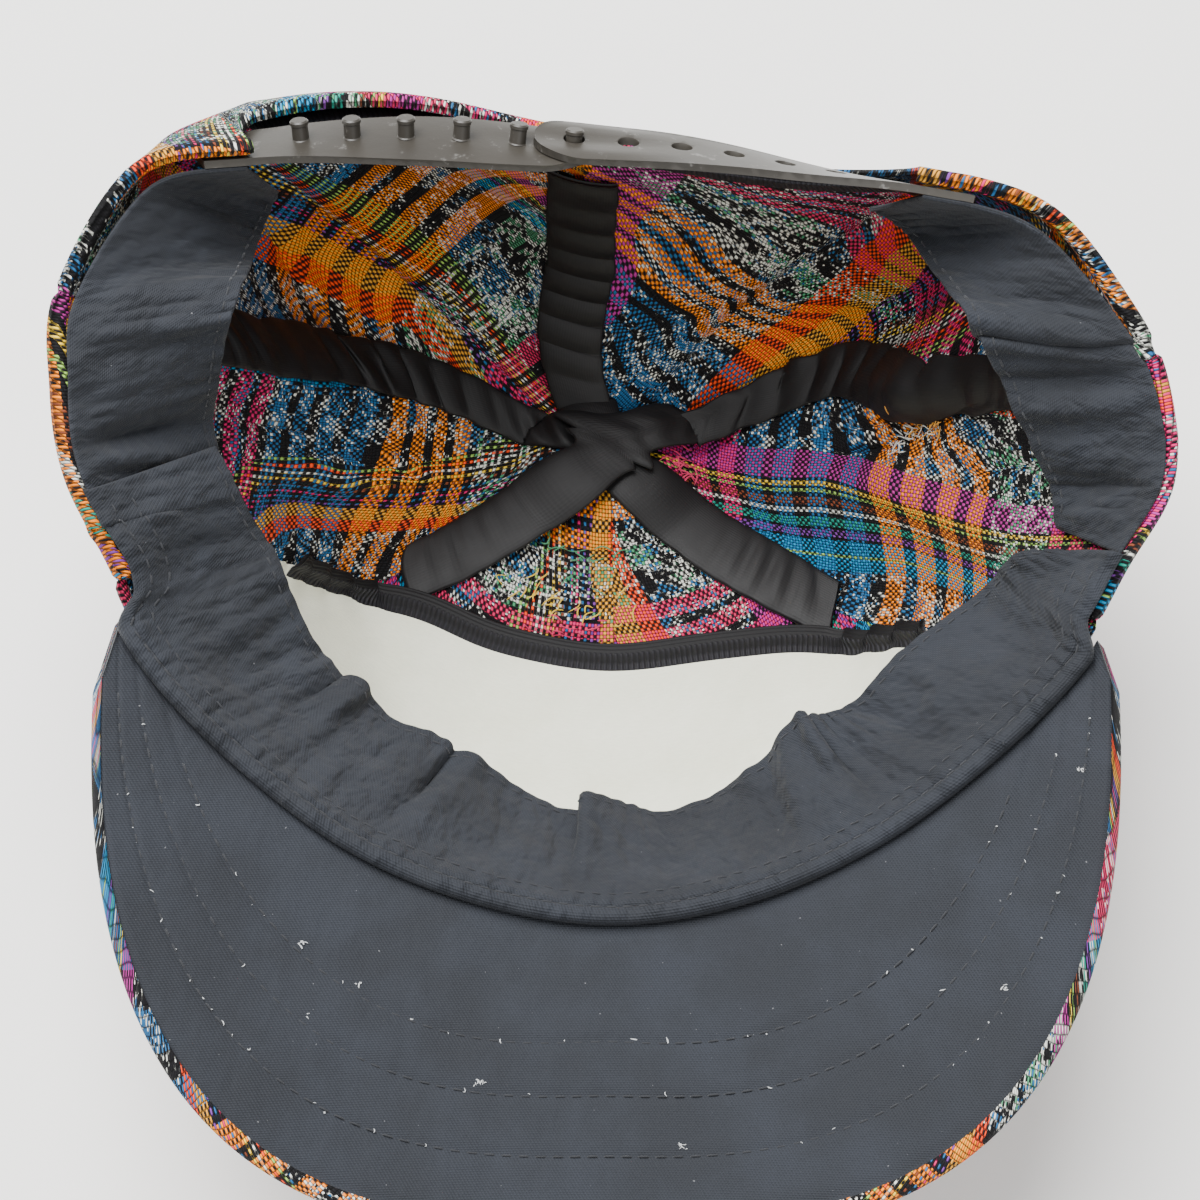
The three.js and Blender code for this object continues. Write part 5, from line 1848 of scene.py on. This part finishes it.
def catmull(a, b, c, t):
    """A curve from a over b to c."""
    first, last = 2 * a - b, 2 * c - b
    t = t[..., None] * 2

    def part(p, q, r, s, x):
        curve = (2 * p - 5 * q + 4 * r - s) * x**2 + (3 * q - p - 3 * r + s) * x**3
        return 0.5 * (2 * q + (r - p) * x + curve)

    return np.where(t < 1, part(first, a, b, c, t), part(a, b, c, last, t - 1))


print("over the rim at the front:", over_rim(270), "and at the strap:", over_rim(350))

# %% Front sweatband


def front_band():
    table = FRONT_EDGE
    roll_rows, drop_rows = 26, 44
    i = stations(420, FRONT_LENGTH, BAND / 2)
    j = np.concatenate([np.linspace(0, 1, roll_rows), 1 + np.linspace(0, 1, drop_rows)[1:]])
    i, j = np.broadcast_arrays(i[:, None], j[None, :])
    angle = mix(table["angle"][0], table["angle"][-1], i)
    over = over_rim(angle)
    rim = crown_in_frame(angle, 1)
    away = away_from_rim(angle)
    beside = HEM * hem_fullness(angle)
    inset = mix(beside + FRONT_CLEAR, CLOTH + 0.9 + BAND / 2, over)
    inner = in_frame(crown_at(angle, share_from_rim(angle, BASE_DROP), inset))
    lip_place = rim + away * LIP
    lip = brim_point(lip_place[..., 0], lip_place[..., 1], -0.25 - BAND / 2 + 0 * angle)
    top = rim - away * CLOTH / 2
    top[..., 2] += ROLL_RISE
    start = in_frame(crown_at(angle, share_from_rim(angle, 0), beside + BAND / 2 + 0.1))
    start[..., 2] += 0.6
    t = np.clip(j, 0, 1)
    rolled_over = catmull(lip, top, inner, t)
    plain = mix(start, inner, t[..., None])
    upper = mix(plain, rolled_over, over[..., None])
    down = np.clip(j - 1, 0, 1)
    lower = hanging(inner, free_edge(table, angle, inner), down)
    middle = standing(np.where((j < 1)[..., None], upper, lower))
    middle = pleated(middle, angle, down, FRONT_PLEATS)
    length = arc_lengths(middle, 1)
    welt = 0.9 * np.sin(math.pi * np.clip(length / WELT, 0, 1))
    welt = welt - 0.6 * np.exp(-(((length - WELT - 0.5) / 0.7) ** 2))
    puckered = 0.25 * np.sin(angle * 2.6 + np.sin(angle * 0.8))
    puckered = puckered * np.exp(-(((length - WELT - 2.5) / 2) ** 2))
    middle = middle + facing_in(middle) * (over * (welt + puckered))[..., None]
    length = arc_lengths(middle, 1)
    whole = length[:, -1:]
    off = np.minimum(length, whole - length) / (BAND / 2)
    full = np.sqrt(np.clip(1 - (1 - np.minimum(off, 1)) ** 2, 0.01, 1))
    full = full * rounding(i, FRONT_LENGTH, BAND / 2)
    return even_shell("sweatband_front_twill", middle, BAND, even_band_weave(middle), full), middle


front_piece, front_middle = front_band()
dress(front_piece, TWILL, "twill", "sweatband_front")

# %% [markdown]
# ## Snap strap
#
# Two tails of moulded plastic close the back: one with pegs, one with holes, and one peg in one hole. They
# follow the rim. The holes are cut with a boolean, as they would be by a punch, and a narrow bevel takes
# the sharpness off every edge, as a mould does.

# %% Strap sizes and places
STRAP_WIDTH = 18
STRAP_FROM_RIM = 1
STRAP_LEAN = 3.5
PEG_TAIL = dict(root=-78, tip=-4.2)
HOLE_TAIL = dict(root=70, tip=-13.8)
FIRST_SNAP = -6.8
SNAP_PITCH = 9.8
SNAP_COUNT = 6
PEG = dict(radius=1.6, height=4.6)
HOLE_RADIUS = 2.1
STRAP_INSET = 3.6 + STRAP / 2  # from the outside of the crown, behind its hem
LAPPED = (5, 50)
TIP_STEPS = 0.3


def rim_angle_at(across):
    """The angle at which the back of the rim lies this far across."""
    angles = np.linspace(140, 40, 800)
    return np.interp(across, crown_in_frame(angles, 1)[:, 0], angles)


def strap_place(across, off, inset):
    angle = rim_angle_at(across)
    along = np.clip((across - PEG_TAIL["root"]) / (HOLE_TAIL["root"] - PEG_TAIL["root"]), 0, 1)
    lean = STRAP_LEAN * np.sin(math.pi * along) ** 2 * (off / STRAP_WIDTH + 0.5)
    return crown_at(angle, share_from_rim(angle, STRAP_FROM_RIM + STRAP_WIDTH / 2 + off), inset - lean)


def peg_inset(across):
    return STRAP_INSET + 0 * across


def hole_inset(across):
    return STRAP_INSET - (STRAP + 0.3) * (1 - smooth(across, *LAPPED))


print(f"the strap overlaps itself for {PEG_TAIL['tip'] - HOLE_TAIL['tip']:.1f} mm")

# %% A tail, and a turned pin


def make_tail(name, tail, inset):
    half = STRAP_WIDTH / 2
    straight = tail["tip"] + math.copysign(half, tail["root"] - tail["tip"])
    i = np.concatenate([np.linspace(0, TIP_STEPS, 18), np.linspace(TIP_STEPS, 1, 60)[1:]])[:, None]
    j = np.linspace(0, 1, 9)[None, :]
    turn = math.pi / 2 * np.minimum(i / TIP_STEPS, 1)
    past = np.maximum(i - TIP_STEPS, 0) / (1 - TIP_STEPS)
    across = mix(mix(straight, tail["tip"], np.cos(turn)), tail["root"], past)
    reach = half * np.maximum(np.sin(turn), 0.1)
    across, off = np.broadcast_arrays(across, mix(-reach, reach, j))
    return even_shell(name, strap_place(across, off, inset(across)), STRAP)


def lathe(name, low, way, profile, sides=24):
    """A turned pin that stands at a point along a direction. profile has rows of radius and height."""
    side = unit(np.cross(way, (1.0, 0.2, 0.1)))
    other = np.cross(way, side)
    turns = np.radians(np.linspace(0, 360, sides + 1))[:-1]
    circle = np.cos(turns)[:, None] * side + np.sin(turns)[:, None] * other
    rings = [low + way * height + circle * radius for radius, height in profile]
    points = (np.concatenate(rings) + SHIFT) / 1000
    at = np.arange(len(points)).reshape(len(profile), sides)
    faces = cells(np.concatenate([at, at[:, :1]], 1).T).tolist()
    caps = [at[0][::-1].tolist(), at[-1].tolist()]
    mesh = bpy.data.meshes.new(name)
    mesh.from_pydata(points.tolist(), [], faces + caps)
    mesh.validate()
    made = bpy.data.objects.new(name, mesh)
    bpy.context.scene.collection.objects.link(made)
    return made


print("a peg is", 2 * PEG["radius"], "mm thick and", PEG["height"], "mm high")

# %% Joining, cutting and softening


def join(objects):
    """Joins mesh objects into the first."""
    bpy.ops.object.select_all(action="DESELECT")
    for made in objects:
        made.select_set(True)
    bpy.context.view_layer.objects.active = objects[0]
    bpy.ops.object.join()
    return objects[0]


def apply_modifiers(piece):
    evaluated = piece.evaluated_get(bpy.context.evaluated_depsgraph_get())
    mesh = bpy.data.meshes.new_from_object(evaluated)
    piece.modifiers.clear()
    piece.data = mesh
    return piece


def pin_place(across, inset):
    low = strap_place(np.array(across), np.array(0.0), np.array(inset))
    high = strap_place(np.array(across), np.array(0.0), np.array(inset - 1))
    return low, unit(high - low)


def soften(piece, width=0.25):
    bevel = piece.modifiers.new("bevel", "BEVEL")
    bevel.width = width / 1000
    bevel.segments = 2
    bevel.limit_method = "ANGLE"
    bevel.angle_limit = math.radians(40)
    apply_modifiers(piece)
    piece.data.shade_smooth()
    piece.data.set_sharp_from_angle(angle=math.radians(50))
    return piece


print("the snaps are", SNAP_PITCH, "mm apart")

# %% The tail with pegs


def make_peg_strap():
    parts = [make_tail("strap_with_pegs", PEG_TAIL, peg_inset)]
    r, h = PEG["radius"], PEG["height"]
    profile = [(r + 0.25, 0.6), (r + 0.02, 0.85), (r, 1.6), (r, h - 1.1)]
    profile += [(r + 0.2, h - 0.9), (r + 0.22, h - 0.3), (r - 0.1, h)]
    for n in range(SNAP_COUNT):
        low, way = pin_place(FIRST_SNAP - n * SNAP_PITCH, STRAP_INSET)
        parts.append(lathe(f"peg_{n}", low, way, profile))
    soften(parts[0])
    for peg in parts[1:]:
        peg.data.shade_smooth()
        peg.data.set_sharp_from_angle(angle=math.radians(40))
    return join(parts)


dress(make_peg_strap(), PLASTIC, "plastic", "strap_pegs")

# %% The tail with holes


def make_hole_strap():
    tail = make_tail("strap_with_holes", HOLE_TAIL, hole_inset)
    cutters = []
    for n in range(SNAP_COUNT):
        across = FIRST_SNAP + n * SNAP_PITCH
        low, way = pin_place(across, float(hole_inset(np.array(across))) + 3)
        cutters.append(lathe(f"punch_{n}", low, way, [(HOLE_RADIUS, 0), (HOLE_RADIUS, 6)]))
    punch = join(cutters)
    cut = tail.modifiers.new("holes", "BOOLEAN")
    cut.object = punch
    cut.operation = "DIFFERENCE"
    cut.solver = "EXACT"
    apply_modifiers(tail)
    bpy.data.objects.remove(punch)
    return soften(tail)


dress(make_hole_strap(), PLASTIC, "plastic", "strap_holes")

# %% [markdown]
# ## Stitches
#
# The brim has three rows of stitches round it. The sweatband has one along its free edge, and two more in
# front, beside the roll. Each stitch is a short thread that comes up out of the cloth and dives back, drawn
# as a tube along four points. A texture could show them too, but it would not catch the light.

# %% Threads


def tubes(name, paths, radius, sides=6):
    """One mesh of round threads. paths holds equally many points for each thread."""
    paths = np.asarray(paths, float)
    way = unit(np.gradient(paths, axis=1))
    side = unit(np.cross(way, (0.31, 0.17, 0.93)))
    other = np.cross(way, side)
    steps = np.linspace(0, 1, paths.shape[1])
    full = np.clip(np.minimum(steps, 1 - steps) * paths.shape[1] * 0.8 + 0.25, 0, 1)
    turns = np.linspace(0, 2 * math.pi, sides + 1)[:-1]
    circle = np.cos(turns)[:, None] * side[:, :, None] + np.sin(turns)[:, None] * other[:, :, None]
    radius = np.broadcast_to(np.asarray(radius, float).reshape(-1, 1, 1, 1), (len(paths), 1, 1, 1))
    points = paths[:, :, None] + circle * radius * full[None, :, None, None]
    at = np.arange(points.size // 3).reshape(points.shape[:3])
    looped = np.concatenate([at, at[:, :, :1]], 2)
    quads = [looped[:, :-1, :-1], looped[:, :-1, 1:], looped[:, 1:, 1:], looped[:, 1:, :-1]]
    body = np.stack(quads, -1).reshape(-1, 4)
    halves = ([0, 1, 2, 3], [0, 3, 4, 5])
    caps = [end[:, half] for end in (at[:, 0], at[:, -1]) for half in halves]
    return new_object(name, points, np.concatenate([body, *caps]))


print("a thread is a tube with 6 sides")

# %% Rows of stitches


def line_on(middle, distance, lift, from_free_edge=True):
    """Points and normals of a line along a band, at a distance from one of its edges."""
    length = arc_lengths(middle, 1)
    normals = facing_in(middle)
    want = length[:, -1] - distance if from_free_edge else np.full(len(length), float(distance))

    def there(grid):
        lines = [[np.interp(w, l, row[:, k]) for w, l, row in zip(want, length, grid)] for k in range(3)]
        return np.stack(lines, -1)

    place, normal = there(middle), there(normals)
    return place + normal * lift, normal


def stitches(place, normal, pitch, long, skip=4):
    """The path of each stitch along a line."""
    arc = arc_lengths(place[:, None], 0)[:, 0]
    starts = np.arange(skip, arc[-1] - skip - long, pitch)
    at = starts[:, None] + long * np.array([0, 0.2, 0.8, 1])
    wobble = chance.normal(0, 0.05, at.shape)
    at = at + wobble
    path, up = (np.stack([np.interp(at, arc, line[:, k]) for k in range(3)], -1) for line in (place, normal))
    return path + up * np.array([-0.25, 0.08, 0.08, -0.25])[:, None]


def brim_row(distance, lift):
    i = np.linspace(0, 1, 900)
    i = i[brim_lengths(i) > distance + 6]
    off = np.full(i.shape, float(distance))
    place, under = on_brim(i, off, 0.3 - lift + 0 * i), on_brim(i, off, 1.3 - lift + 0 * i)
    return place, unit(place - under)


band_rows = [
    line_on(front_middle, 2.4, BAND / 2),
    line_on(left_middle, 2.4, BAND / 2),
    line_on(right_middle, 2.4, BAND / 2),
    line_on(front_middle, WELT + 0.5, BAND / 2, False),
    line_on(front_middle, WELT + 5.5, BAND / 2, False),
]
band_stitches = np.concatenate([stitches(*row, 3.1, 2.3) for row in band_rows])
brim_rows = [brim_row(distance, 0.05) for distance in STITCH_ROWS]
brim_stitches = np.concatenate([stitches(*row, 3.2, 2.3) for row in brim_rows])
dress(tubes("sweatband_stitches", band_stitches, 0.2), DARK_THREAD, "twill")
dress(tubes("brim_stitches", brim_stitches, 0.2), DARK_THREAD, "twill")

# %% [markdown]
# ## Lint
#
# Dark cotton gathers white fluff, most of it where stitches catch it. It could be specks in the twill's
# colour alone, but real fluff stands up. So short threads start from the brim's stitches, and a few clumps
# lie beside them.

# %% Lint


def make_lint():
    """White fluff: specks caught by the stitches and a few larger flecks."""
    homes = brim_stitches[:, 1]
    specks = homes[chance.random(len(homes)) < 0.22]
    specks = specks + chance.normal(0, 0.3, specks.shape) * (1, 1, 0)
    flecks = np.repeat(homes[chance.choice(len(homes), 7, replace=False)] + (0, 2, 0), 9, axis=0)
    flecks = flecks + chance.normal(0, 0.45, flecks.shape) * (1.3, 0.8, 0)
    places = np.concatenate([specks, flecks])
    run = chance.normal(0, 1, places.shape) * (0.26, 0.26, 0.03)
    bend = chance.normal(0, 0.15, places.shape) * (1, 1, 0.2)
    inner = places + bend
    paths = np.stack([places - run, inner - run * 0.4, inner + run * 0.4, places + run], 1)
    paths[..., 2] += 0.12
    return tubes("lint", paths, chance.uniform(0.06, 0.17, len(paths)))


dress(make_lint(), LINT, "twill")

# %% [markdown]
# ## Frayed yarn
#
# Where a gore's raw end peeps out beside a tape, its yarns come loose in a tuft of that end's colour.
# Particle hair could grow them. Tubes are simpler to aim: all yarns of a tuft lean one way, as they were
# pulled, and each curls by itself.

# %% Frayed yarn
FRAYS = (
    ((247, 0.19), 16, "green", GREEN),
    ((252.5, 0.25), 22, "yellow", YELLOW),
    ((256.5, 0.31), 16, "pink", PINK),
    ((15.5, 0.6), 26, "amber", OCHRE),
    ((13.5, 0.55), 20, "white", WHITE),
    ((356, 0.14), 18, "rose", PINK),
)


def make_fray(name, centre, count):
    angle = centre[0] + chance.normal(0, 2.2 / max(centre[1], 0.15), count)
    share = centre[1] + chance.normal(0, 0.018, count)
    start = crown_at(angle, share, ON_CLOTH + 0.1)
    inward = unit(crown_at(angle, share, ON_CLOTH + 1.1) - start)
    leaning = chance.normal(0, 1, 3) * 1.6 + chance.normal(0, 1, start.shape)
    sideways = unit(np.cross(inward, leaning))
    steps = np.linspace(0, 1, 7)
    long = chance.uniform(2, 5, count)[:, None]
    curl = chance.normal(0, 1, (count, 1)) * np.sin(steps * 3.5) * 0.8
    rise = 0.9 * np.sin(math.pi * steps * chance.uniform(0.6, 1, (count, 1))) + 0.1
    cross = np.cross(inward, sideways)
    out = sideways[:, None] * (steps * long)[..., None] + cross[:, None] * curl[..., None]
    path = start[:, None] + out + inward[:, None] * rise[..., None]
    return tubes(name, path, chance.uniform(0.1, 0.2, count))


for centre, count, colour_name, colour in FRAYS:
    fray = make_fray("frayed_" + colour_name, centre, count)
    dress(fray, yarn_finish(colour_name + "_yarn", colour), "ikat")

# %% [markdown]
# ## Floor
#
# A plain pale sheet under everything; it is no part of the cap. A curved backdrop would look the same from
# this high.

# %% Floor
FLOOR_HALF = 3000


def make_floor():
    corners = np.array([[-1, -1, 0], [1, -1, 0], [1, 1, 0], [-1, 1, 0]], float) * FLOOR_HALF
    floor = new_object("floor", corners, np.array([[0, 1, 2, 3]]))
    floor.data.materials.append(FLOOR)


make_floor()
print("the floor reaches", FLOOR_HALF / 1000, "metres each way")

# %% [markdown]
# ## Triangles
#
# Last, the number of triangles in all the dressed pieces is printed.

# %% Triangles and the end
print("triangles in all:", sum(pieces_made.values()))
